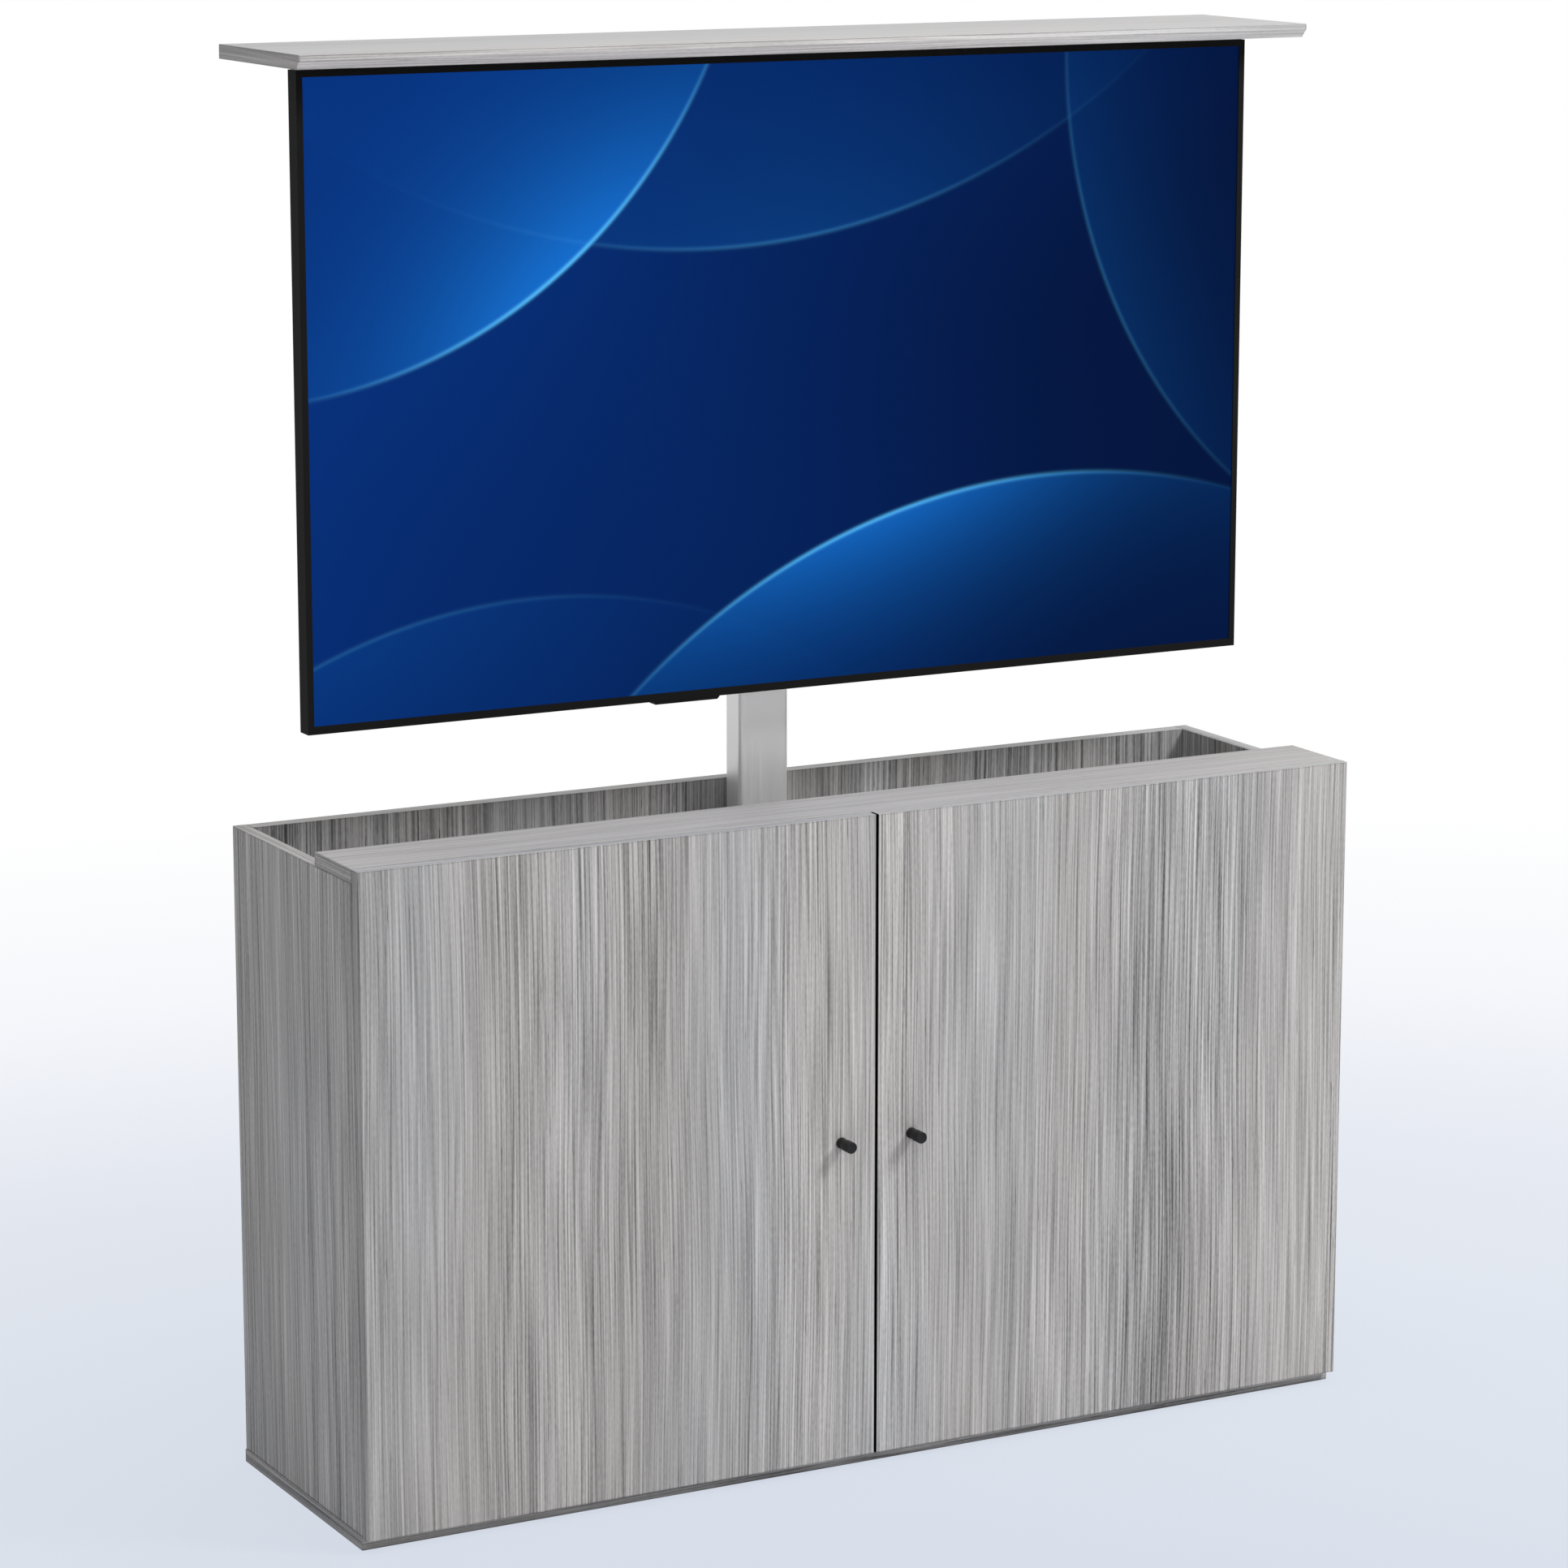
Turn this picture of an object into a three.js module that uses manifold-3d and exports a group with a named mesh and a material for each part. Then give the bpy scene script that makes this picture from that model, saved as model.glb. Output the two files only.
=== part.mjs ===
// A television lift cabinet, shown raised: a laminated carcass with two overlay doors on cup hinges,
// a three-stage lifting column with its drive, and a television and lid that ride on its inner stage.
// Millimetres, +Z up, the doors face -Y, and the origin is the centre of the base panel's underside.
import * as THREE from "three";
import { mergeVertices } from "three/addons/utils/BufferGeometryUtils.js";
import Module from "manifold-3d";

const wasm = await Module();
wasm.setup();

// Carcass boards
const carcass = {
  width: 1200,
  depth: 318,
  height: 710.5, // floor to the top of the side panels
  sideBoard: 16,
  backBoard: 18,
  flatBoard: 15, // base, front rail, doors and lid
  baseOverhang: 1,
  railDepth: 94,
  arris: 0.6, // eased edge of each board
};

// Overlay doors and their knobs
const door = {
  backGap: 1, // door back to the carcass front
  middleGap: 2.2,
  bottomCover: 1, // how far the door laps the base panel's front edge
};
const knob = {
  fromMiddle: 43,
  length: 24,
  headRadius: 6.4,
  neckRadius: 5.2,
  collarRadius: 6.1,
  collarLength: 3,
  headLength: 13.5,
  rounding: 0.8,
};

// Cup hinge. A place in it is [inwards from the side panel's inner face, back from the carcass front].
const hinge = {
  fromDoorEnd: 100, // hinge centre to the door's top or bottom edge
  outerPivot: [5.2, 5.4],
  cupPivot: [-7.8, -6.4],
  innerPivot: [25.8, 6.7],
  openPivot: [-2.6, -3.7],
  cupFromSide: 4.5, // cup centre, inwards
  cupRadius: 17.5,
  cupWall: 0.9,
  cupFloor: 0.7,
  cupHollow: 11.5,
  recessClearance: 0.3,
  flange: 0.6,
  flangeWidth: 33,
  flangeHeight: 62,
  flangeCorner: 8,
  flangeShift: 1.5,
  pinRadius: 1.1,
  cupPinRadius: 1,
  pinClearance: 0.15,
  eyeRadius: 2.2,
  cupEyeRadius: 1.9,
  openEyeRadius: 1.5,
  outerLinkWidth: 14,
  outerLinkWindow: 8.8,
  windowFromEye: 1,
  innerLinkWidth: 7.8,
  linkThickness: 1.4,
  sideClearance: 0.4,
  armWall: 1.4,
  armEye: 2.4,
  armHeight: 13,
  armShoulder: 22,
  armBack: 66,
  plateThickness: 2.6,
  plateFront: 16,
  plateWingFront: 28,
  plateWingBack: 46,
  plateWingHeight: 48,
  plateHeight: 18,
};

// Bends of the two hinge links, as shares of the way from the cup's pivot to the arm's,
// first inwards and then back: the outer link dips under the inner one and rises behind it
const outerLinkShares = [
  [0.015, -0.17],
  [0.12, -0.34],
  [0.32, -0.41],
  [0.6, -0.38],
  [0.85, -0.25],
  [0.98, 0.02],
  [1.015, 0.37],
];
const innerLinkShares = [
  [0.14, 0.01],
  [0.27, 0.08],
  [0.44, 0.3],
];

// Lifting column: each stage is a rounded tube that slides in the next larger one
const column = {
  fromBackPanel: 41, // column centre to the back panel's inner face
  middleWidth: 61,
  middleDepth: 35,
  wall: 2,
  slideGap: 2,
  corner: 5,
  innerCorner: 4,
  belowTop: 34.5, // outer tube's top, under the side panels' top
  stageStep: 18, // how far a lowered tube stands out of the next larger one
  footGap: 3, // between the lowered tubes' feet
  collarHeight: 14,
  collarLip: 1,
  collarLipHeight: 4,
  collarClearance: 0.3,
};
const drive = {
  basePlateWidth: 300,
  basePlateDepth: 72,
  basePlateThickness: 4,
  basePlateCorner: 10,
  spindleRadius: 5,
  spindleOffset: 12,
  spindleGap: 0.4,
  spindleEndGap: 12,
  nutBlockHeight: 16,
  bearingDepth: 8,
  gearboxWidth: 42,
  gearboxDepth: 40,
  gearboxHeight: 48,
  gearboxCorner: 6,
  gearboxEdge: 1.5,
  motorRadius: 21,
  motorLength: 96,
  motorCapRadius: 18,
  motorCapLength: 12,
  motorRounding: 3,
};
const bracket = {
  width: 120,
  plate: 3,
  height: 44,
  legReach: 50,
  belowTubeTop: 56, // bracket's centre, under the outer tube's top
};
const controlBox = {
  width: 140,
  depth: 46,
  height: 42,
  corner: 5,
  edge: 2.5,
  fromBasePlate: 40,
  inletWidth: 28,
  inletHeight: 22,
  inletDepth: 16,
  socketDepth: 12,
  socketMargin: 4,
};
const grommet = {
  fromLeft: 150,
  height: 90,
  radius: 30,
  wall: 2.5,
  lip: 4,
  lipThickness: 2,
};

// Television: a thin flat set held by its rear cover
const tv = {
  width: 1142,
  height: 685.5,
  belowLid: 5.5,
  beforeColumn: 85, // face of the frame to the column's centre
  frameDepth: 21,
  lip: 1.5,
  bezel: 7,
  bottomBezel: 8.5,
  rebate: 3.5,
  screenThickness: 4,
  trayDepth: 6,
  backDepth: 30,
  coverThin: 4,
  coverInset: 2,
  coverRounding: 2,
  bulgeWidth: 820,
  bulgeBottom: 30,
  bulgeHeight: 390,
  bulgeTaper: 16,
  ventCount: 24,
  ventWidth: 4,
  ventHeight: 40,
  ventPitch: 22,
  ventDepth: 4,
  ventFromTop: 30,
  receiverWidth: 81,
  receiverDrop: 3.5,
  receiverDepth: 14,
  receiverCentre: -130,
  receiverTaper: 3,
};

// Steelwork that hangs the television and the lid from the inner stage
const mount = {
  holeSpacing: 200,
  holesUp: 229.5, // centre of the hole pattern, above the television's bottom
  armWidth: 22,
  armDepth: 14,
  armSteel: 2,
  armHeight: 290,
  slotWidth: 7,
  slotLength: 40,
  railWidth: 340,
  railHeight: 32,
  railSteel: 3,
  railSpacing: 180,
  railCorner: 8,
  uprightWidth: 100,
  uprightDepth: 12,
  uprightSteel: 2.5,
  uprightUp: 109.5, // upright's foot, above the television's bottom
  windowWidth: 50,
  windowHeight: 90,
  windowPitch: 130,
  headSteel: 4,
  headLeg: 75,
  lidPlateWidth: 340,
  lidPlateDepth: 104,
  lidPlateSteel: 3,
  lidPlateCorner: 14,
};
const lid = {
  top: 1536.5, // when raised
  frontGap: 1, // lid's front edge to the rail's back edge when it is lowered
  backLap: 8, // how far the lowered lid laps the back panel's top
  chamferDepth: 8.6,
  uprightEdge: 5.6,
};

// Shared clearances and face counts
const seat = 0.3; // gap left where one piece rests on another that isn't a plain board
const overrun = 2; // how far a cutting solid runs past what it cuts
const roundSteps = 32;
const smallRoundSteps = 16;
const cornerSteps = 4;
const linkSteps = 14;

// Places that follow from the sizes above
const halfWidth = carcass.width / 2;
const innerHalf = halfWidth - carcass.sideBoard;
const frontY = -carcass.depth / 2;
const backY = carcass.depth / 2;
const backPanelFront = backY - carcass.backBoard;
const baseTop = carcass.flatBoard;
const cabinetTop = carcass.height + carcass.flatBoard;
const doorBack = frontY - door.backGap;
const doorFront = doorBack - carcass.flatBoard;
const doorBottom = baseTop - door.bottomCover;
const doorHeight = cabinetTop - doorBottom;
const railBack = frontY + carcass.railDepth;
const lidBottom = lid.top - carcass.flatBoard;
const stageTravel = (lidBottom - carcass.height - seat) / 2; // of each of the two moving stages
const columnY = backPanelFront - column.fromBackPanel;
const footPlateTop = baseTop + drive.basePlateThickness;
const outerTop = carcass.height - column.belowTop;
const middleTop = outerTop + column.stageStep + stageTravel;
const middleBottom = footPlateTop + column.footGap + stageTravel;
const innerTop = lidBottom - mount.lidPlateSteel - mount.headSteel;
const innerBottom = middleBottom + drive.nutBlockHeight + column.footGap + stageTravel;
const tvTop = lidBottom - tv.belowLid;
const tvBottom = tvTop - tv.height;
const tvFront = columnY - tv.beforeColumn;
const tvBack = tvFront + tv.backDepth;

// Colours of the finishes: [colour, roughness, metalness]
const finishes = {
  laminate: [0xa7a6a8, 0.55, 0],
  laminateShade: [0x8f8e90, 0.6, 0],
  blackMetal: [0x1c1c1e, 0.45, 0.6],
  nickel: [0xb4b5b8, 0.3, 0.9],
  silver: [0xb9bbbe, 0.38, 0.7],
  steel: [0x8a8d91, 0.35, 0.9],
  darkSteel: [0x2c2d30, 0.5, 0.5],
  plastic: [0x1a1a1c, 0.5, 0],
  screenGlass: [0x07237a, 0.12, 0],
  brassNut: [0xa98f4d, 0.4, 0.8],
};

const cabinet = new THREE.Group();

// One named piece of the cabinet
function addPiece(name, geometry, finish) {
  const [color, roughness, metalness] = finishes[finish];
  const material = new THREE.MeshStandardMaterial({ color, roughness, metalness });
  const mesh = new THREE.Mesh(geometry, material);
  mesh.name = name;
  cabinet.add(mesh);
}

// Solids for cutting and joining
function solidOf(geometry) {
  const bare = geometry.index ? geometry.toNonIndexed() : geometry.clone();
  bare.deleteAttribute("normal");
  bare.deleteAttribute("uv");
  const merged = mergeVertices(bare);
  const vertProperties = new Float32Array(merged.attributes.position.array);
  const triVerts = new Uint32Array(merged.index.array);
  return new wasm.Manifold(new wasm.Mesh({ numProp: 3, vertProperties, triVerts }));
}

function geometryOf(solid) {
  const mesh = solid.getMesh();
  const geometry = new THREE.BufferGeometry();
  geometry.setAttribute("position", new THREE.BufferAttribute(mesh.vertProperties, mesh.numProp));
  geometry.setIndex(new THREE.BufferAttribute(mesh.triVerts, 1));
  return geometry;
}

function joined(geometries) {
  return geometryOf(geometries.map(solidOf).reduce((all, next) => all.add(next)));
}

function cut(geometry, tools) {
  return geometryOf(tools.map(solidOf).reduce((left, tool) => left.subtract(tool), solidOf(geometry)));
}

// The directions that an outline's two coordinates and its extrusion take, for each extrusion axis.
// Along x an outline is drawn in (y, z), along y in (x, z), and along z in (x, y).
const xAxis = new THREE.Vector3(1, 0, 0);
const yAxis = new THREE.Vector3(0, 1, 0);
const zAxis = new THREE.Vector3(0, 0, 1);
const axisFrames = {
  x: new THREE.Matrix4().makeBasis(yAxis, zAxis, xAxis),
  y: new THREE.Matrix4().makeBasis(xAxis, zAxis, yAxis.clone().negate()),
  z: new THREE.Matrix4().makeBasis(xAxis, yAxis, zAxis),
};

// An outline carried along an axis between two places; bevel eases the two end faces' edges
function prism(outline, axis, low, high, bevel = 0, bevelDepth = bevel) {
  const geometry = new THREE.ExtrudeGeometry(outline, {
    depth: high - low - 2 * bevelDepth,
    bevelEnabled: bevel > 0,
    bevelThickness: bevelDepth,
    bevelSize: bevel,
    bevelOffset: -bevel,
    bevelSegments: 1,
    curveSegments: cornerSteps,
  });
  const start = axis === "y" ? -high : low;
  geometry.translate(0, 0, start + bevelDepth);
  return geometry.applyMatrix4(axisFrames[axis]);
}

function polygon(points) {
  return new THREE.Shape(points.map(([u, v]) => new THREE.Vector2(u, v)));
}

function rectangle(uLow, uHigh, vLow, vHigh) {
  return polygon([
    [uLow, vLow],
    [uHigh, vLow],
    [uHigh, vHigh],
    [uLow, vHigh],
  ]);
}

function roundedRectangle(uLow, uHigh, vLow, vHigh, radius, shape = new THREE.Shape()) {
  const quarter = Math.PI / 2;
  shape.absarc(uHigh - radius, vLow + radius, radius, -quarter, 0, false);
  shape.absarc(uHigh - radius, vHigh - radius, radius, 0, quarter, false);
  shape.absarc(uLow + radius, vHigh - radius, radius, quarter, 2 * quarter, false);
  shape.absarc(uLow + radius, vLow + radius, radius, 2 * quarter, 3 * quarter, false);
  shape.closePath();
  return shape;
}

// A laminated board given by its three spans, with eased edges round its two large faces
function board(spanX, spanY, spanZ, thinAxis) {
  const spans = { x: [spanY, spanZ, spanX], y: [spanX, spanZ, spanY], z: [spanX, spanY, spanZ] };
  const [u, v, w] = spans[thinAxis];
  return prism(rectangle(...u, ...v), thinAxis, ...w, carcass.arris);
}

// A plain block given by its three spans
function block(spanX, spanY, spanZ) {
  return prism(rectangle(...spanX, ...spanY), "z", ...spanZ);
}

// A round rod along y or z; u and v are its centre in that axis's outline
function rod(axis, u, v, low, high, radius, steps = roundSteps) {
  const geometry = new THREE.CylinderGeometry(radius, radius, high - low, steps);
  const middle = (low + high) / 2;
  if (axis === "z") {
    return geometry.rotateX(Math.PI / 2).translate(u, v, middle);
  }
  return geometry.translate(u, middle, v);
}

// Carcass
function addCarcass() {
  const spanY = [frontY, backY];
  const spanZ = [baseTop, carcass.height];
  const baseHalf = halfWidth + carcass.baseOverhang;
  addPiece("base_panel", board([-baseHalf, baseHalf], spanY, [0, baseTop], "z"), "laminateShade");
  addPiece("left_side_panel", board([-halfWidth, -innerHalf], spanY, spanZ, "x"), "laminate");
  addPiece("right_side_panel", board([innerHalf, halfWidth], spanY, spanZ, "x"), "laminate");
  const railTop = [carcass.height, cabinetTop];
  const rail = board([-halfWidth, halfWidth], [frontY, railBack], railTop, "z");
  addPiece("front_top_rail", rail, "laminate");
  const back = board([-innerHalf, innerHalf], [backPanelFront, backY], spanZ, "y");
  const outletX = -halfWidth + grommet.fromLeft;
  const outletZ = grommet.height;
  const holeEnds = [backPanelFront - overrun, backY + overrun];
  const hole = rod("y", outletX, outletZ, ...holeEnds, grommet.radius + seat);
  addPiece("back_panel", cut(back, [hole]), "laminateShade");
  addPiece("cable_grommet", grommetRing(outletX, outletZ), "plastic");
}

// The liner of the cable outlet: a sleeve pressed in from inside, with its lip on the back panel's
// inner face, so that the panel's outer face stays plain and can stand against a wall
function grommetRing(x, z) {
  const bore = grommet.radius - grommet.wall;
  const lipBack = backPanelFront - seat;
  const lipFront = lipBack - grommet.lipThickness;
  const sleeveEnd = backY - seat;
  const profile = [
    [bore, lipFront],
    [grommet.radius + grommet.lip, lipFront],
    [grommet.radius + grommet.lip, lipBack],
    [grommet.radius, lipBack],
    [grommet.radius, sleeveEnd],
    [bore, sleeveEnd],
    [bore, lipFront],
  ];
  const points = profile.map(([r, y]) => new THREE.Vector2(r, y));
  return new THREE.LatheGeometry(points, roundSteps).translate(x, 0, z);
}

// A place in a hinge, drawn in (x, y), for the left (-1) or right (1) side
function hingePlace(side, [inwards, back]) {
  return [side * (innerHalf - inwards), frontY + back];
}

// A strip of even thickness along a smooth curve from one pivot to another; its bends between them
// are given as shares of the way
function ribbon(side, start, shares, end, thickness) {
  const [startIn, startBack] = start;
  const [endIn, endBack] = end;
  const bends = shares.map(([inwards, back]) => [
    startIn + inwards * (endIn - startIn),
    startBack + back * (endBack - startBack),
  ]);
  const places = [start, ...bends, end];
  const points = places.map((place) => new THREE.Vector2(...hingePlace(side, place)));
  const curve = new THREE.SplineCurve(points);
  const left = [];
  const right = [];
  for (let i = 0; i <= linkSteps; i += 1) {
    const at = curve.getPointAt(i / linkSteps);
    const along = curve.getTangentAt(i / linkSteps);
    const across = new THREE.Vector2(-along.y, along.x).multiplyScalar(thickness / 2);
    left.push([at.x + across.x, at.y + across.y]);
    right.unshift([at.x - across.x, at.y - across.y]);
  }
  return polygon([...left, ...right]);
}

// The round recess that a hinge cup sits in
function cupRecess(side, height) {
  const [x] = hingePlace(side, [hinge.cupFromSide, 0]);
  const floor = doorBack - hinge.cupHollow - hinge.cupFloor - seat;
  return rod("y", x, height, floor, doorBack + overrun, hinge.cupRadius + hinge.recessClearance);
}

function hingeCup(side, height) {
  const [x] = hingePlace(side, [hinge.cupFromSide, 0]);
  const innerRadius = hinge.cupRadius - hinge.cupWall;
  const floorTop = doorBack - hinge.cupHollow;
  const outside = rod("y", x, height, floorTop - hinge.cupFloor, doorBack + hinge.flange, hinge.cupRadius);
  const hollow = rod("y", x, height, floorTop, doorBack + hinge.flange + overrun, innerRadius);
  const middle = x - side * hinge.flangeShift;
  const halfSpan = hinge.flangeWidth / 2;
  const halfHeight = hinge.flangeHeight / 2;
  const outline = roundedRectangle(
    middle - halfSpan,
    middle + halfSpan,
    height - halfHeight,
    height + halfHeight,
    hinge.flangeCorner,
  );
  const flange = prism(outline, "y", doorBack, doorBack + hinge.flange);
  const [pinX, pinY] = hingePlace(side, hinge.cupPivot);
  const wallMiddle = hinge.cupRadius - hinge.cupWall / 2;
  const reach = Math.sqrt(wallMiddle ** 2 - (pinX - x) ** 2);
  const pin = rod("z", pinX, pinY, height - reach, height + reach, hinge.cupPinRadius, smallRoundSteps);
  const shell = solidOf(outside).add(solidOf(flange)).subtract(solidOf(hollow));
  return geometryOf(shell.add(solidOf(pin)));
}

// The screwed plate on the side panel: a bar with a wing up and a wing down
function hingePlate(side, height) {
  const half = hinge.plateHeight / 2;
  const wing = hinge.plateWingHeight / 2;
  const places = [
    [hinge.plateFront, -half],
    [hinge.plateWingFront, -half],
    [hinge.plateWingFront, -wing],
    [hinge.plateWingBack, -wing],
    [hinge.plateWingBack, -half],
    [hinge.armBack, -half],
    [hinge.armBack, half],
    [hinge.plateWingBack, half],
    [hinge.plateWingBack, wing],
    [hinge.plateWingFront, wing],
    [hinge.plateWingFront, half],
    [hinge.plateFront, half],
  ];
  const outline = polygon(places.map(([back, up]) => [frontY + back, height + up]));
  const faces = [side * innerHalf, side * (innerHalf - hinge.plateThickness)].sort((a, b) => a - b);
  return prism(outline, "x", ...faces);
}

// The arm: a steel channel over the plate, whose two cheeks run forward and carry both pivots
function hingeArm(side, height) {
  const foot = hinge.plateThickness + seat;
  const [outerIn, outerBack] = hinge.outerPivot;
  const [innerIn, innerBack] = hinge.innerPivot;
  const outline = [
    [foot, hinge.armBack],
    [hinge.armHeight, hinge.armBack],
    [hinge.armHeight, hinge.armShoulder],
    [innerIn + hinge.armEye, innerBack + hinge.armEye],
    [innerIn + hinge.armEye, innerBack - hinge.armEye],
    [outerIn, outerBack - hinge.armEye],
    [foot, outerBack - hinge.armEye],
  ];
  const web = hinge.armHeight - hinge.armWall;
  const hollow = [
    [-overrun, -overrun],
    [innerIn + hinge.armEye + overrun, -overrun],
    [innerIn + hinge.armEye + overrun, hinge.armShoulder],
    [web, hinge.armShoulder],
    [web, hinge.armBack + overrun],
    [-overrun, hinge.armBack + overrun],
  ];
  const insideHalf = hinge.outerLinkWidth / 2 + hinge.sideClearance;
  const outsideHalf = insideHalf + hinge.armWall;
  const shapeOf = (places) => polygon(places.map((place) => hingePlace(side, place)));
  const outer = prism(shapeOf(outline), "z", height - outsideHalf, height + outsideHalf);
  const inner = prism(shapeOf(hollow), "z", height - insideHalf, height + insideHalf);
  const pins = [hinge.outerPivot, hinge.innerPivot].map((pivot) => {
    const [x, y] = hingePlace(side, pivot);
    return rod("z", x, y, height - outsideHalf, height + outsideHalf, hinge.pinRadius, smallRoundSteps);
  });
  return joined([cut(outer, [inner]), ...pins]);
}

// The outer link: a bent strap with a window for the inner link, an eye on the arm's outer pivot
// and two knuckles on the cup's pin
function outerLink(side, height) {
  const half = hinge.outerLinkWidth / 2;
  const ends = [height - half, height + half];
  const bent = ribbon(side, hinge.cupPivot, outerLinkShares, hinge.outerPivot, hinge.linkThickness);
  const strap = prism(bent, "z", ...ends);
  const [eyeX, eyeY] = hingePlace(side, hinge.outerPivot);
  const [knuckleX, knuckleY] = hingePlace(side, hinge.cupPivot);
  const eye = rod("z", eyeX, eyeY, ...ends, hinge.eyeRadius, smallRoundSteps);
  const knuckle = rod("z", knuckleX, knuckleY, ...ends, hinge.cupEyeRadius, smallRoundSteps);
  const holeEnds = [height - half - overrun, height + half + overrun];
  const eyeHole = hinge.pinRadius + hinge.pinClearance;
  const knuckleHole = hinge.cupPinRadius + hinge.pinClearance;
  const windowHalf = hinge.outerLinkWindow / 2;
  const windowBack = eyeY - hinge.eyeRadius - hinge.windowFromEye;
  const windowReach = 2 * hinge.cupRadius;
  const window = block(
    [eyeX - windowReach, eyeX + windowReach],
    [windowBack - windowReach, windowBack],
    [height - windowHalf, height + windowHalf],
  );
  return cut(joined([strap, eye, knuckle]), [
    rod("z", eyeX, eyeY, ...holeEnds, eyeHole, smallRoundSteps),
    rod("z", knuckleX, knuckleY, ...holeEnds, knuckleHole, smallRoundSteps),
    window,
  ]);
}

// The inner link: a narrow bent bar from the arm's inner pivot to its own short pin inside the cup
function innerLink(side, height) {
  const half = hinge.innerLinkWidth / 2;
  const ends = [height - half, height + half];
  const bent = ribbon(side, hinge.openPivot, innerLinkShares, hinge.innerPivot, hinge.linkThickness);
  const bar = prism(bent, "z", ...ends);
  const [eyeX, eyeY] = hingePlace(side, hinge.innerPivot);
  const [endX, endY] = hingePlace(side, hinge.openPivot);
  const eye = rod("z", eyeX, eyeY, ...ends, hinge.eyeRadius, smallRoundSteps);
  const end = rod("z", endX, endY, ...ends, hinge.openEyeRadius, smallRoundSteps);
  const holeEnds = [height - half - overrun, height + half + overrun];
  const holeRadius = hinge.pinRadius + hinge.pinClearance;
  return cut(joined([bar, eye, end]), [rod("z", eyeX, eyeY, ...holeEnds, holeRadius, smallRoundSteps)]);
}

// A round knob: collar, neck and a flat-faced head
function doorKnob(x, z) {
  const head = knob.length - knob.headLength;
  const profile = [
    [0, 0],
    [knob.collarRadius, 0],
    [knob.collarRadius, knob.collarLength],
    [knob.neckRadius, knob.collarLength + knob.rounding],
    [knob.neckRadius, head - knob.rounding],
    [knob.headRadius, head],
    [knob.headRadius, knob.length - knob.rounding],
    [knob.headRadius - knob.rounding, knob.length],
    [0, knob.length],
  ];
  const points = profile.map(([r, out]) => new THREE.Vector2(r, doorFront - out)).reverse();
  return new THREE.LatheGeometry(points, roundSteps).translate(x, 0, z);
}

function addDoor(side, name) {
  const hingeHeights = { lower: doorBottom + hinge.fromDoorEnd, upper: cabinetTop - hinge.fromDoorEnd };
  const spanX = [(side * door.middleGap) / 2, side * halfWidth].sort((a, b) => a - b);
  const panel = board(spanX, [doorFront, doorBack], [doorBottom, cabinetTop], "y");
  const recesses = Object.values(hingeHeights).map((height) => cupRecess(side, height));
  addPiece(name + "_door", cut(panel, recesses), "laminate");
  addPiece(name + "_knob", doorKnob(side * knob.fromMiddle, doorBottom + doorHeight / 2), "blackMetal");
  for (const [level, height] of Object.entries(hingeHeights)) {
    const start = name + "_" + level + "_hinge_";
    addPiece(start + "plate", hingePlate(side, height), "nickel");
    addPiece(start + "arm", hingeArm(side, height), "nickel");
    addPiece(start + "outer_link", outerLink(side, height), "steel");
    addPiece(start + "inner_link", innerLink(side, height), "steel");
    addPiece(start + "cup", hingeCup(side, height), "nickel");
  }
}

// The sizes of the three column tubes: width, depth and corner radius outside
const tubeStep = column.wall + column.slideGap;
const middleSize = [column.middleWidth, column.middleDepth, column.corner];
const outerSize = [
  column.middleWidth + 2 * tubeStep,
  column.middleDepth + 2 * tubeStep,
  column.corner + tubeStep,
];
const innerSize = [
  column.middleWidth - 2 * tubeStep,
  column.middleDepth - 2 * tubeStep,
  column.innerCorner,
];

// The outline of a column tube, grown outwards all round
function tubeOutline([width, depth, corner], grow = 0, shape = new THREE.Shape()) {
  const halfWide = width / 2 + grow;
  const halfDeep = depth / 2 + grow;
  return roundedRectangle(-halfWide, halfWide, columnY - halfDeep, columnY + halfDeep, corner + grow, shape);
}

function tube(size, low, high) {
  const outline = tubeOutline(size);
  outline.holes.push(tubeOutline(size, -column.wall, new THREE.Path()));
  return prism(outline, "z", low, high);
}

// A plastic slide collar in the mouth of a tube: a sleeve inside the wall and a lip on top
function slideCollar(size, tubeTop) {
  const sleeveBottom = tubeTop - column.collarHeight + column.collarLipHeight;
  const lipBottom = tubeTop + seat;
  const lipTop = lipBottom + column.collarLipHeight;
  const sleeve = prism(tubeOutline(size, -column.wall - column.collarClearance), "z", sleeveBottom, lipTop);
  const lip = prism(tubeOutline(size, column.collarLip), "z", lipBottom, lipTop);
  const bore = tubeOutline(size, column.collarClearance - tubeStep);
  return cut(joined([sleeve, lip]), [prism(bore, "z", sleeveBottom - overrun, lipTop + overrun)]);
}

// A block in the foot of a tube, with a bored nut for one spindle and a hole for the other
function footBlock(size, low, nutX, openX, bearing) {
  const high = low + drive.nutBlockHeight;
  const bore = drive.spindleRadius + drive.spindleGap;
  const openLow = bearing ? high - drive.bearingDepth : low - overrun;
  return cut(prism(tubeOutline(size, -column.wall - column.collarClearance), "z", low, high), [
    rod("z", nutX, columnY, low - overrun, high + overrun, bore, smallRoundSteps),
    rod("z", openX, columnY, openLow, high + overrun, bore, smallRoundSteps),
  ]);
}

function addColumn() {
  addPiece("outer_column", tube(outerSize, footPlateTop, outerTop), "silver");
  addPiece("middle_column", tube(middleSize, middleBottom, middleTop), "silver");
  addPiece("inner_column", tube(innerSize, innerBottom, innerTop), "silver");
  addPiece("outer_slide_collar", slideCollar(outerSize, outerTop), "plastic");
  addPiece("middle_slide_collar", slideCollar(middleSize, middleTop), "plastic");
}

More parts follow.
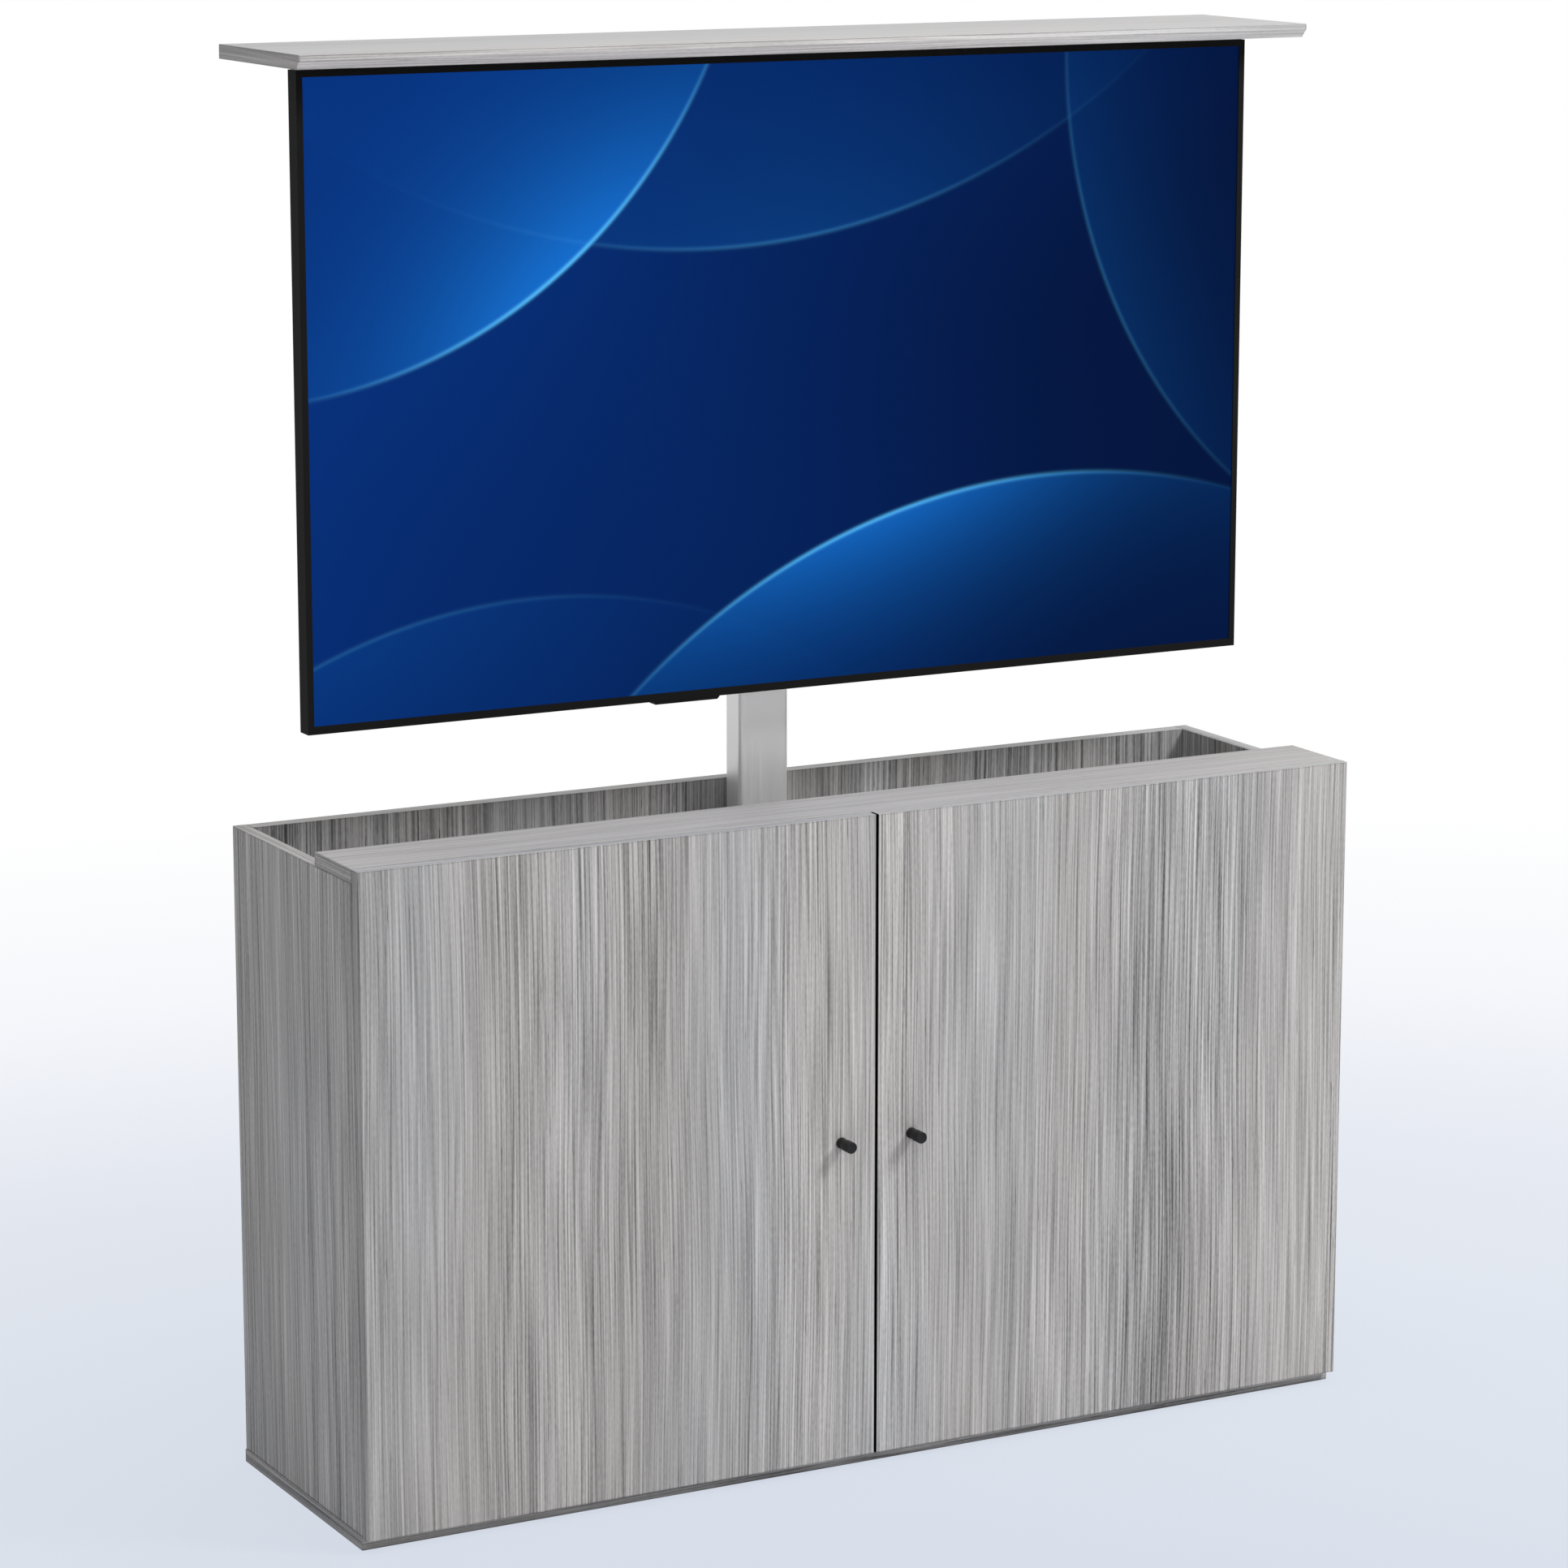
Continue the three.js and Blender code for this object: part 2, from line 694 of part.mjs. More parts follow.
// The lower spindle stands on the foot plate and drives the middle stage; the upper one turns in the
// middle stage's foot and drives the inner stage
function addSpindles() {
  const lowerX = -drive.spindleOffset;
  const upperX = drive.spindleOffset;
  addPiece("middle_nut_block", footBlock(middleSize, middleBottom, lowerX, upperX, true), "brassNut");
  addPiece("inner_nut_block", footBlock(innerSize, innerBottom, upperX, lowerX, false), "brassNut");
  const lowerEnds = [footPlateTop + seat, outerTop - drive.spindleEndGap];
  const bearingFloor = middleBottom + drive.nutBlockHeight - drive.bearingDepth;
  const upperEnds = [bearingFloor + seat, middleTop - drive.spindleEndGap];
  const spindle = (x, ends) => rod("z", x, columnY, ...ends, drive.spindleRadius, smallRoundSteps);
  addPiece("lower_spindle", spindle(lowerX, lowerEnds), "steel");
  addPiece("upper_spindle", spindle(upperX, upperEnds), "steel");
}

// Foot plate, gearbox and motor beside the column
function addDrive() {
  const halfPlate = drive.basePlateWidth / 2;
  const halfDepth = drive.basePlateDepth / 2;
  const plateOutline = roundedRectangle(
    -halfPlate,
    halfPlate,
    columnY - halfDepth,
    columnY + halfDepth,
    drive.basePlateCorner,
  );
  addPiece("lift_base_plate", prism(plateOutline, "z", baseTop, footPlateTop), "darkSteel");

  const gearboxLeft = column.middleWidth / 2 + tubeStep + seat;
  const gearboxRight = gearboxLeft + drive.gearboxWidth;
  const gearboxHalf = drive.gearboxDepth / 2;
  const gearboxOutline = roundedRectangle(
    columnY - gearboxHalf,
    columnY + gearboxHalf,
    footPlateTop,
    footPlateTop + drive.gearboxHeight,
    drive.gearboxCorner,
  );
  const gearbox = prism(gearboxOutline, "x", gearboxLeft, gearboxRight, drive.gearboxEdge);
  addPiece("lift_gearbox", gearbox, "darkSteel");
  addMotor(gearboxRight + seat);
}

function addMotor(start) {
  const motorHeight = footPlateTop + drive.gearboxHeight / 2;
  const end = start + drive.motorLength;
  const profile = [
    [0, start],
    [drive.motorRadius, start],
    [drive.motorRadius, end - drive.motorRounding],
    [drive.motorRadius - drive.motorRounding, end],
    [drive.motorCapRadius, end],
    [drive.motorCapRadius, end + drive.motorCapLength - drive.motorRounding],
    [drive.motorCapRadius - drive.motorRounding, end + drive.motorCapLength],
    [0, end + drive.motorCapLength],
  ];
  const points = profile.map(([r, x]) => new THREE.Vector2(r, x));
  const motor = new THREE.LatheGeometry(points, roundSteps).rotateZ(-Math.PI / 2);
  addPiece("lift_motor", motor.translate(0, columnY, motorHeight), "steel");
}

// The clamp that ties the outer tube to the back panel
function addBracket() {
  const legInside = column.middleWidth / 2 + tubeStep + seat;
  const legOutside = legInside + bracket.plate;
  const plateBack = backPanelFront;
  const plateFront = plateBack - bracket.plate;
  const legFront = plateBack - bracket.legReach;
  const outline = polygon([
    [-bracket.width / 2, plateBack],
    [-bracket.width / 2, plateFront],
    [-legOutside, plateFront],
    [-legOutside, legFront],
    [-legInside, legFront],
    [-legInside, plateFront],
    [legInside, plateFront],
    [legInside, legFront],
    [legOutside, legFront],
    [legOutside, plateFront],
    [bracket.width / 2, plateFront],
    [bracket.width / 2, plateBack],
  ]);
  const low = outerTop - bracket.belowTubeTop - bracket.height / 2;
  addPiece("column_bracket", prism(outline, "z", low, low + bracket.height), "darkSteel");
}

// Control box on the base panel, with a mains inlet in its left end
function addControlBox() {
  const right = -drive.basePlateWidth / 2 - controlBox.fromBasePlate;
  const left = right - controlBox.width;
  const halfDepth = controlBox.depth / 2;
  const outline = roundedRectangle(
    left,
    right,
    columnY - halfDepth,
    columnY + halfDepth,
    controlBox.corner,
  );
  const middle = baseTop + controlBox.height / 2;
  const halfWide = controlBox.inletWidth / 2;
  const halfHigh = controlBox.inletHeight / 2;
  const inletEnd = left + controlBox.inletDepth;
  const inletSpan = (grow) => [
    [columnY - halfWide - grow, columnY + halfWide + grow],
    [middle - halfHigh - grow, middle + halfHigh + grow],
  ];
  const pocket = block([left - overrun, inletEnd], ...inletSpan(seat));
  const box = prism(outline, "z", baseTop, baseTop + controlBox.height, controlBox.edge);
  addPiece("control_box", cut(box, [pocket]), "plastic");
  const inletSolid = block([left, inletEnd - seat], ...inletSpan(0));
  const socketEnd = left + controlBox.socketDepth;
  const socket = block([left - overrun, socketEnd], ...inletSpan(-controlBox.socketMargin));
  addPiece("power_inlet", cut(inletSolid, [socket]), "plastic");
}

// A span of the television in (x, z), set in from its sides, bottom and top
function tvRectangle(sideInset, bottomInset, topInset) {
  const half = tv.width / 2 - sideInset;
  return rectangle(-half, half, tvBottom + bottomInset, tvTop - topInset);
}

// A rectangular ring for the television's frame
function tvRing(border, bottomBorder, front, back) {
  const outline = tvRectangle(0, 0, 0);
  outline.holes.push(new THREE.Path(tvRectangle(border, bottomBorder, border).getPoints()));
  return prism(outline, "y", front, back);
}

// The frame's lip laps the screen, which lies in the rebate behind it with the tray at its back
function addScreen() {
  const lipBack = tvFront + tv.lip;
  const frameBack = tvFront + tv.frameDepth;
  const border = tv.bezel - tv.rebate;
  const bottomBorder = tv.bottomBezel - tv.rebate;
  const lip = tvRing(tv.bezel, tv.bottomBezel, tvFront, lipBack);
  const ring = tvRing(border, bottomBorder, lipBack, frameBack);
  addPiece("tv_frame", joined([lip, ring]), "plastic");

  const outline = tvRectangle(border + seat, bottomBorder + seat, border + seat);
  const screenFront = lipBack + seat;
  const screenBack = screenFront + tv.screenThickness;
  const trayFront = screenBack + seat;
  addPiece("tv_screen", prism(outline, "y", screenFront, screenBack), "screenGlass");
  addPiece("tv_backlight_tray", prism(outline, "y", trayFront, trayFront + tv.trayDepth), "silver");
}

// Slots along the upper edge of the rear cover's bulge
function coverVents(low) {
  const vents = [];
  for (let i = 0; i < tv.ventCount; i += 1) {
    const x = (i - (tv.ventCount - 1) / 2) * tv.ventPitch;
    const spanX = [x - tv.ventWidth / 2, x + tv.ventWidth / 2];
    vents.push(block(spanX, [tvBack - tv.ventDepth, tvBack + overrun], [low, low + tv.ventHeight]));
  }
  return vents;
}

// The rear cover: a thin rounded back with a tapered bulge low down, trimmed flat at the front
function addRearCover() {
  const coverFront = tvFront + tv.frameDepth + seat;
  const thinBack = coverFront + tv.coverThin;
  const thinOutline = tvRectangle(tv.coverInset, tv.coverInset, tv.coverInset);
  const thin = prism(thinOutline, "y", coverFront - tv.coverRounding, thinBack, tv.coverRounding);
  const bulgeLow = tvBottom + tv.bulgeBottom;
  const bulgeHigh = bulgeLow + tv.bulgeHeight;
  const bulgeOutline = rectangle(-tv.bulgeWidth / 2, tv.bulgeWidth / 2, bulgeLow, bulgeHigh);
  const bulgeDepth = tvBack - thinBack;
  const bulgeFront = thinBack - bulgeDepth;
  const bulge = prism(bulgeOutline, "y", bulgeFront, tvBack, tv.bulgeTaper, bulgeDepth - tv.coverRounding);
  const trim = block(
    [-tv.width, tv.width],
    [coverFront - tv.backDepth, coverFront],
    [tvBottom - overrun, tvTop + overrun],
  );
  const vents = coverVents(bulgeHigh - tv.bulgeTaper - tv.ventFromTop - tv.ventHeight);
  addPiece("tv_rear_cover", cut(joined([thin, bulge]), [trim, ...vents]), "plastic");
}

// The small window for the remote control, under the frame
function addReceiver() {
  const half = tv.receiverWidth / 2;
  const outline = polygon([
    [tv.receiverCentre - half, tvBottom],
    [tv.receiverCentre - half + tv.receiverTaper, tvBottom - tv.receiverDrop],
    [tv.receiverCentre + half - tv.receiverTaper, tvBottom - tv.receiverDrop],
    [tv.receiverCentre + half, tvBottom],
  ]);
  const front = tvFront + seat;
  addPiece("tv_receiver", prism(outline, "y", front, front + tv.receiverDepth), "plastic");
}

function addTelevision() {
  addScreen();
  addRearCover();
  addReceiver();
}

// Steel channel in plan: a web across the front and two flanges running back
function channel(centreX, width, front, depth, steel, low, high) {
  const left = centreX - width / 2;
  const right = centreX + width / 2;
  const outline = polygon([
    [left, front],
    [right, front],
    [right, front + depth],
    [right - steel, front + depth],
    [right - steel, front + steel],
    [left + steel, front + steel],
    [left + steel, front + depth],
    [left, front + depth],
  ]);
  return prism(outline, "z", low, high);
}

// The places of the mount's layers, from the television's back to the column's head
const holesZ = tvBottom + mount.holesUp;
const armFront = tvBack + seat;
const mountRailFront = armFront + mount.armDepth + seat;
const uprightFront = mountRailFront + mount.railSteel + seat;
const headLegFront = uprightFront + mount.uprightSteel + seat;

// Two slotted channels that screw to the television's back
function addArms() {
  const ends = [holesZ - mount.armHeight / 2, holesZ + mount.armHeight / 2];
  for (const side of [-1, 1]) {
    const x = (side * mount.holeSpacing) / 2;
    const arm = channel(x, mount.armWidth, armFront, mount.armDepth, mount.armSteel, ...ends);
    const slots = [-1, 1].map((up) => {
      const z = holesZ + (up * mount.holeSpacing) / 2;
      return block(
        [x - mount.slotWidth / 2, x + mount.slotWidth / 2],
        [armFront - overrun, armFront + mount.armSteel + overrun],
        [z - mount.slotLength / 2, z + mount.slotLength / 2],
      );
    });
    addPiece(side < 0 ? "left_tv_arm" : "right_tv_arm", cut(arm, slots), "darkSteel");
  }
}

// Two flat rails across the arms
function addMountRails() {
  for (const up of [-1, 1]) {
    const z = holesZ + (up * mount.railSpacing) / 2;
    const outline = roundedRectangle(
      -mount.railWidth / 2,
      mount.railWidth / 2,
      z - mount.railHeight / 2,
      z + mount.railHeight / 2,
      mount.railCorner,
    );
    const rail = prism(outline, "y", mountRailFront, mountRailFront + mount.railSteel);
    addPiece(up < 0 ? "lower_mount_rail" : "upper_mount_rail", rail, "darkSteel");
  }
}

// A channel with windows, from the rails up to the head
function addUpright() {
  const bottom = tvBottom + mount.uprightUp;
  const size = [mount.uprightWidth, uprightFront, mount.uprightDepth, mount.uprightSteel];
  const upright = channel(0, ...size, bottom, innerTop - seat);
  const windows = [];
  const highest = innerTop - mount.headLeg - mount.windowPitch;
  for (let z = bottom + mount.windowHeight; z < highest; z += mount.windowPitch) {
    windows.push(
      block(
        [-mount.windowWidth / 2, mount.windowWidth / 2],
        [uprightFront - overrun, uprightFront + mount.uprightSteel + overrun],
        [z, z + mount.windowHeight],
      ),
    );
  }
  addPiece("mount_upright", cut(upright, windows), "darkSteel");
}

// The folded bracket on the inner tube's top: a leg down inside the upright and a plate under the lid
function addHead() {
  const head = innerTop + mount.headSteel;
  const plateBack = columnY + column.middleDepth / 2;
  const outline = polygon([
    [headLegFront, innerTop - mount.headLeg],
    [headLegFront + mount.headSteel, innerTop - mount.headLeg],
    [headLegFront + mount.headSteel, innerTop],
    [plateBack, innerTop],
    [plateBack, head],
    [headLegFront, head],
  ]);
  const half = mount.uprightWidth / 2 - mount.uprightSteel - seat;
  addPiece("column_head", prism(outline, "x", -half, half), "darkSteel");

  const halfPlate = mount.lidPlateWidth / 2;
  const plateOutline = roundedRectangle(
    -halfPlate,
    halfPlate,
    plateBack - mount.lidPlateDepth,
    plateBack,
    mount.lidPlateCorner,
  );
  addPiece("lid_plate", prism(plateOutline, "z", head, head + mount.lidPlateSteel), "darkSteel");
}

// The lid: its front edge is cut back below, and its other edges are square
function addLid() {
  const lidFront = railBack + lid.frontGap;
  const lidBack = backPanelFront + lid.backLap;
  const arris = carcass.arris;
  const outline = polygon([
    [lidFront + lid.chamferDepth, lidBottom],
    [lidBack, lidBottom],
    [lidBack, lid.top - arris],
    [lidBack - arris, lid.top],
    [lidFront + arris, lid.top],
    [lidFront, lid.top - arris],
    [lidFront, lid.top - lid.uprightEdge],
  ]);
  addPiece("lid_panel", prism(outline, "x", -halfWidth, halfWidth), "laminate");
}

addCarcass();
addDoor(-1, "left");
addDoor(1, "right");
addColumn();
addSpindles();
addDrive();
addBracket();
addControlBox();
addTelevision();
addArms();
addMountRails();
addUpright();
addHead();
addLid();

export default cabinet;
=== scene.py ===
import math

import bpy
import numpy as np
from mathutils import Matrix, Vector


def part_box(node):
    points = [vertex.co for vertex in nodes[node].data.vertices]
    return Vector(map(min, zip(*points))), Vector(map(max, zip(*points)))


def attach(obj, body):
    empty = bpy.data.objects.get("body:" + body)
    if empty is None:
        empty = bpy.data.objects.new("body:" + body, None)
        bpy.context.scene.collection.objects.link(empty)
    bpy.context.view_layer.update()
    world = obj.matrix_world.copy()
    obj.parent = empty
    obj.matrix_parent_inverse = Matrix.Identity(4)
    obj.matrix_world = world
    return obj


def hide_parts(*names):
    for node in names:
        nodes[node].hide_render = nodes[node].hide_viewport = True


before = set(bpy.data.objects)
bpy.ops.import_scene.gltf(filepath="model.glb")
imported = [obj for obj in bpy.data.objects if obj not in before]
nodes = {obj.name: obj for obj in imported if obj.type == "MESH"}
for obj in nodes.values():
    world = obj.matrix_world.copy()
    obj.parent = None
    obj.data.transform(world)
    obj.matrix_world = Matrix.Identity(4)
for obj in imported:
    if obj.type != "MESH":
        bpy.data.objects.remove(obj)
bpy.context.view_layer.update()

print("television lift cabinet: frame loaded")


# Camera, at the photograph's viewing angle
cameraView = {
    "lens": 117.115,            # mm, as the sensor's width is
    "sensorWidth": 36.0,
    "clipEnd": 500.0,
    "place": (-2.581904, -4.804627, 1.849436),
    "turn": (math.pi / 2 - 0.203, 0.0, -0.49),
}


def makeCamera():
    data = bpy.data.cameras.new("camera")
    data.lens = cameraView["lens"]
    data.sensor_width = cameraView["sensorWidth"]
    data.clip_end = cameraView["clipEnd"]
    camera = bpy.data.objects.new("camera", data)
    camera.location = cameraView["place"]
    camera.rotation_euler = cameraView["turn"]
    bpy.context.scene.collection.objects.link(camera)
    bpy.context.scene.camera = camera


# Studio: a soft key from the upper right, broad lamps overhead and in front, an even sky and a pale floor
studio = {
    "skyStrength": 0.167,
    "aim": (0.0, -0.1, 0.6),
    "lamps": {
        "key": {"from": (2.3, -2.4, 2.75), "away": 3.6, "size": 0.9, "power": 79.0},
        "overhead": {"from": (0.0, -0.05, 4.0), "away": 6.0, "size": 3.0, "power": 181.0},
        "front": {"from": (-1.0, -3.0, 2.2), "away": 3.6, "size": 2.4, "power": 31.0},
    },
    "floorSize": 160.0,
    "floorRoughness": 0.9,
    "floorCloth": (0.82, 0.82, 0.835),      # what the floor throws back on the object
    "poolMiddle": (-0.36, -1.12, 0.0),      # a cool pool of tone on the floor in front of the cabinet
    "poolReach": 4.5,
    "poolTones": [
        (0.72, (0.665, 0.715, 0.81)),
        (1.65, (0.735, 0.785, 0.865)),
        (2.4, (0.8, 0.832, 0.906)),
        (3.3, (0.92, 0.93, 0.965)),
        (4.5, (1.0, 1.0, 1.0)),
    ],
    "floorShade": 0.1,                      # how much of the floor takes light and shadow
    "shadeFade": (1.9, 3.4),                # where that share runs out
}


def makeLamp(name, lamp):
    ray = np.array(lamp["from"], float)
    ray /= np.linalg.norm(ray)
    data = bpy.data.lights.new(name, "AREA")
    data.shape = "SQUARE"
    data.size = lamp["size"]
    data.energy = lamp["power"]
    light = bpy.data.objects.new(name, data)
    light.location = np.array(studio["aim"]) + ray * lamp["away"]
    light.rotation_euler = (math.acos(ray[2]), 0.0, math.atan2(ray[0], -ray[1]))
    bpy.context.scene.collection.objects.link(light)


class Nodes:
    # Short names for adding and joining the nodes of one tree
    def __init__(self, tree):
        self.tree = tree

    def add(self, kind, **values):
        node = self.tree.nodes.new(kind)
        for key, value in values.items():
            setattr(node, key, value)
        return node

    def feed(self, socket, value):
        if isinstance(value, bpy.types.NodeSocket):
            self.tree.links.new(value, socket)
        else:
            socket.default_value = value

    def math(self, operation, *values):
        node = self.add("ShaderNodeMath", operation=operation)
        for socket, value in zip(node.inputs, values):
            self.feed(socket, value)
        return node.outputs[0]

    def distance(self, a, b):
        node = self.add("ShaderNodeVectorMath", operation="DISTANCE")
        self.feed(node.inputs[0], a)
        self.feed(node.inputs[1], b)
        return node.outputs["Value"]

    def scaled(self, vector, amount):
        node = self.add("ShaderNodeVectorMath", operation="SCALE")
        self.feed(node.inputs[0], vector)
        self.feed(node.inputs["Scale"], amount)
        return node.outputs["Vector"]

    def mix(self, factor, a, b, kind="FLOAT"):
        node = self.add("ShaderNodeMix", data_type=kind)
        first, second, result = {"FLOAT": (2, 3, 0), "VECTOR": (4, 5, 1), "RGBA": (6, 7, 2)}[kind]
        self.feed(node.inputs[0], factor)
        self.feed(node.inputs[first], a)
        self.feed(node.inputs[second], b)
        return node.outputs[result]

    def bell(self, value):
        # 1 where the value is nothing, and less to both sides: e to the power of minus its square
        return self.math("EXPONENT", self.math("MULTIPLY", self.math("MULTIPLY", value, value), -1.0))

    def noise(self, vector, scale, detail, roughness=0.5):
        node = self.add("ShaderNodeTexNoise")
        self.feed(node.inputs["Vector"], vector)
        node.inputs["Scale"].default_value = scale
        node.inputs["Detail"].default_value = detail
        node.inputs["Roughness"].default_value = roughness
        return node.outputs["Fac"]

    def span(self, value, low, high, newLow=0.0, newHigh=1.0, smooth=False):
        node = self.add("ShaderNodeMapRange")
        node.interpolation_type = "SMOOTHSTEP" if smooth else "LINEAR"
        self.feed(node.inputs[0], value)
        for socket, number in zip(node.inputs[1:5], (low, high, newLow, newHigh)):
            socket.default_value = number
        return node.outputs[0]

    def combine(self, *values):
        node = self.add("ShaderNodeCombineXYZ")
        for socket, value in zip(node.inputs, values):
            self.feed(socket, value)
        return node.outputs[0]

    def separate(self, vector):
        node = self.add("ShaderNodeSeparateXYZ")
        self.feed(node.inputs[0], vector)
        return node.outputs[0], node.outputs[1], node.outputs[2]

    def place(self):
        return self.add("ShaderNodeTexCoord").outputs["Object"]

    def facing(self):
        # Which way a face looks, in its piece's own space, so that it stays the same as a door swings
        return self.separate(self.add("ShaderNodeTexCoord").outputs["Normal"])

    def bump(self, height, strength, distance):
        node = self.add("ShaderNodeBump")
        node.inputs["Strength"].default_value = strength
        node.inputs["Distance"].default_value = distance
        self.feed(node.inputs["Height"], height)
        return node.outputs[0]

    def seenDirectly(self):
        # 1 for the rays of the camera, of reflections and of clear glass, and 0 for those of light
        path = self.add("ShaderNodeLightPath")
        seen = self.math("MAXIMUM", path.outputs["Is Camera Ray"], path.outputs["Is Glossy Ray"])
        return self.math("MAXIMUM", seen, path.outputs["Is Transmission Ray"])


def newMaterial(name):
    material = bpy.data.materials.new(name)
    material.use_nodes = True
    return material, Nodes(material.node_tree), material.node_tree.nodes["Principled BSDF"]


def makeWorld():
    world = bpy.data.worlds.new("studio")
    bpy.context.scene.world = world
    world.use_nodes = True
    n = Nodes(world.node_tree)
    back = world.node_tree.nodes["Background"]
    n.feed(back.inputs["Strength"], n.mix(n.seenDirectly(), studio["skyStrength"], 1.0))
    back.inputs["Color"].default_value = (1.0, 1.0, 1.0, 1.0)


def floorMaterial():
    material, n, paint = newMaterial("paleFloor")
    paint.inputs["Base Color"].default_value = (*studio["floorCloth"], 1.0)
    paint.inputs["Roughness"].default_value = studio["floorRoughness"]
    paint.inputs["Specular IOR Level"].default_value = 0.0
    reach = n.distance(n.place(), studio["poolMiddle"])
    tones = n.add("ShaderNodeValToRGB")
    n.feed(tones.inputs[0], n.math("DIVIDE", reach, studio["poolReach"]))
    points = tones.color_ramp.elements
    while len(points) < len(studio["poolTones"]):
        points.new(0.5)
    for point, (place, colour) in zip(points, studio["poolTones"]):
        point.position = place / studio["poolReach"]
        point.color = (*colour, 1.0)
    glow = n.add("ShaderNodeEmission")
    n.feed(glow.inputs["Color"], tones.outputs[0])
    shade = n.span(reach, *studio["shadeFade"], studio["floorShade"], 0.0, smooth=True)
    blend = n.add("ShaderNodeMixShader")
    n.feed(blend.inputs[0], n.math("MULTIPLY", n.seenDirectly(), n.math("SUBTRACT", 1.0, shade)))
    n.feed(blend.inputs[1], paint.outputs[0])
    n.feed(blend.inputs[2], glow.outputs[0])
    n.feed(material.node_tree.nodes["Material Output"].inputs["Surface"], blend.outputs[0])
    return material


def makeFloor():
    half = studio["floorSize"] / 2
    mesh = bpy.data.meshes.new("floor")
    corners = [(-half, -half, 0), (half, -half, 0), (half, half, 0), (-half, half, 0)]
    mesh.from_pydata(corners, [], [(0, 1, 2, 3)])
    mesh.materials.append(floorMaterial())
    floor = bpy.data.objects.new("floor", mesh)
    bpy.context.scene.collection.objects.link(floor)


def makeStudio():
    bpy.context.scene.view_settings.view_transform = "Standard"
    makeCamera()
    makeWorld()
    makeFloor()
    for name, lamp in studio["lamps"].items():
        makeLamp(name, lamp)
    print("studio: camera, lamps, sky and floor")


# Laminate: grey-washed wood print. Lengths are in metres. Each pattern of the print has lines so many to
# the metre, finer ones within them where that is given, a stretch (its rate of change along the board as
# a share of that across) and a shift across the board, which keeps the patterns apart. A sum is a share
# of the tone. Between its limits a pattern goes from none to all, or from one share to the other.
laminate = {
    "tone": 0.385,
    "darkest": 0.15,            # no line is darker than this share of the tone
    "tint": {"perMetre": 9.0, "finer": 1.0, "stretch": 0.12, "shift": 9.5, "limits": (0.35, 0.65)},
    "cool": (1.0, 0.998, 1.008),
    "warm": (1.035, 1.0, 0.985),
    # wide bands, the wood's figure, streaks, fibres and a fine speckle that breaks up the fibres
    "bands": {"perMetre": 3.4, "finer": 1.0, "stretch": 0.1, "shift": 5.2, "sum": 0.42},
    "figure": {"perMetre": 5.0, "finer": 6.0, "rough": 0.95, "stretch": 0.005, "shift": 0.0, "sum": 1.9},
    "streaks": {"perMetre": 240.0, "stretch": 0.006, "shift": 1.3, "sum": 0.55},
    "fibres": {"perMetre": 520.0, "stretch": 0.011, "shift": 2.6, "sum": 1.5},
    "speckle": {"perMetre": 520.0, "stretch": 0.3, "shift": 3.9, "sum": 0.28, "even": True},
    # thin lines that run together and part again, stronger in some patches: dark ones, and faint pale ones
    "darkLines": {"perMetre": 50.0, "finer": 2.0, "rough": 0.55, "stretch": 0.006, "shift": 12.6,
                  "width": 0.03, "sum": -0.14},
    "paleLines": {"perMetre": 56.0, "finer": 1.5, "rough": 0.55, "stretch": 0.006, "shift": 11.6,
                  "width": 0.034, "sum": 0.1},
    "linePatches": {"perMetre": 13.0, "finer": 1.0, "stretch": 0.2, "shift": 6.9,
                    "limits": (0.38, 0.62), "shares": (0.25, 1.0)},
    # short dark specks
    "pores": {"perMetre": 800.0, "stretch": 0.028, "shift": 8.2, "limits": (0.77, 0.83), "depth": 0.85},
    # wide zones where the grain is calmer or livelier
    "zones": {"perMetre": 6.0, "finer": 2.0, "stretch": 0.06, "shift": 17.7,
              "limits": (0.36, 0.64), "shares": (0.78, 1.22)},
    # how far the lines lean from straight, and how far along the board neighbours begin and end apart,
    # which a pattern that is even leaves out
    "drift": {"perMetre": 1.8, "finer": 1.0, "quicker": 2.0, "reach": 0.018},
    "uneven": {"perMetre": 260.0, "reach": 0.5},
    "topFacing": (0.5, 0.9),    # where a face begins to look up, and where it wholly does
    "topSheenCalm": 0.4,             # painted sheen: how much of the grain shows on faces that look up, where a sheen washes it out
    "endFacing": 0.8,           # past this a face looks along the grain
    "otherFacing": 0.3,         # past this a face is one whose tone the table of painted light and shade below changes
    "seamAndShadeBand": (0.0003, 0.0015),       # where a dark line runs, from the board's edge: the seam of an edge band, and painted shade along the joints and gaps
    "seamAndShadeDepth": 0.46,          # how dark that line is, seam and painted shade together
    "arrisHighlight": 0.08,          # painted highlight: how much lighter the edge itself is drawn
    "roughness": 0.5,
    "roughnessSpread": 0.06,
    "figureLimits": (0.3, 0.7),
    "specular": 0.35,
    "reliefStrength": 0.1,
    "reliefDepth": 0.0003,
}
boards = {
    # the axis that the grain runs along, where in the print each board was cut, and its contrast
    "left_door": ("z", 3.1, 1.0),
    "right_door": ("z", 13.9, 1.1),
    "left_side_panel": ("z", 23.3, 1.4),
    "right_side_panel": ("z", 31.9, 1.4),
    "back_panel": ("z", 43.5, 1.1),
    "front_top_rail": ("x", 57.2, 1.0),
    "lid_panel": ("x", 66.4, 0.7),
    "base_panel": ("x", 74.8, 1.0),
}
gapShadeTone = 0.01                # painted shade: the share of the tone that is left on the doors' meeting edges, drawn near black as if the gap between them were in deep shade
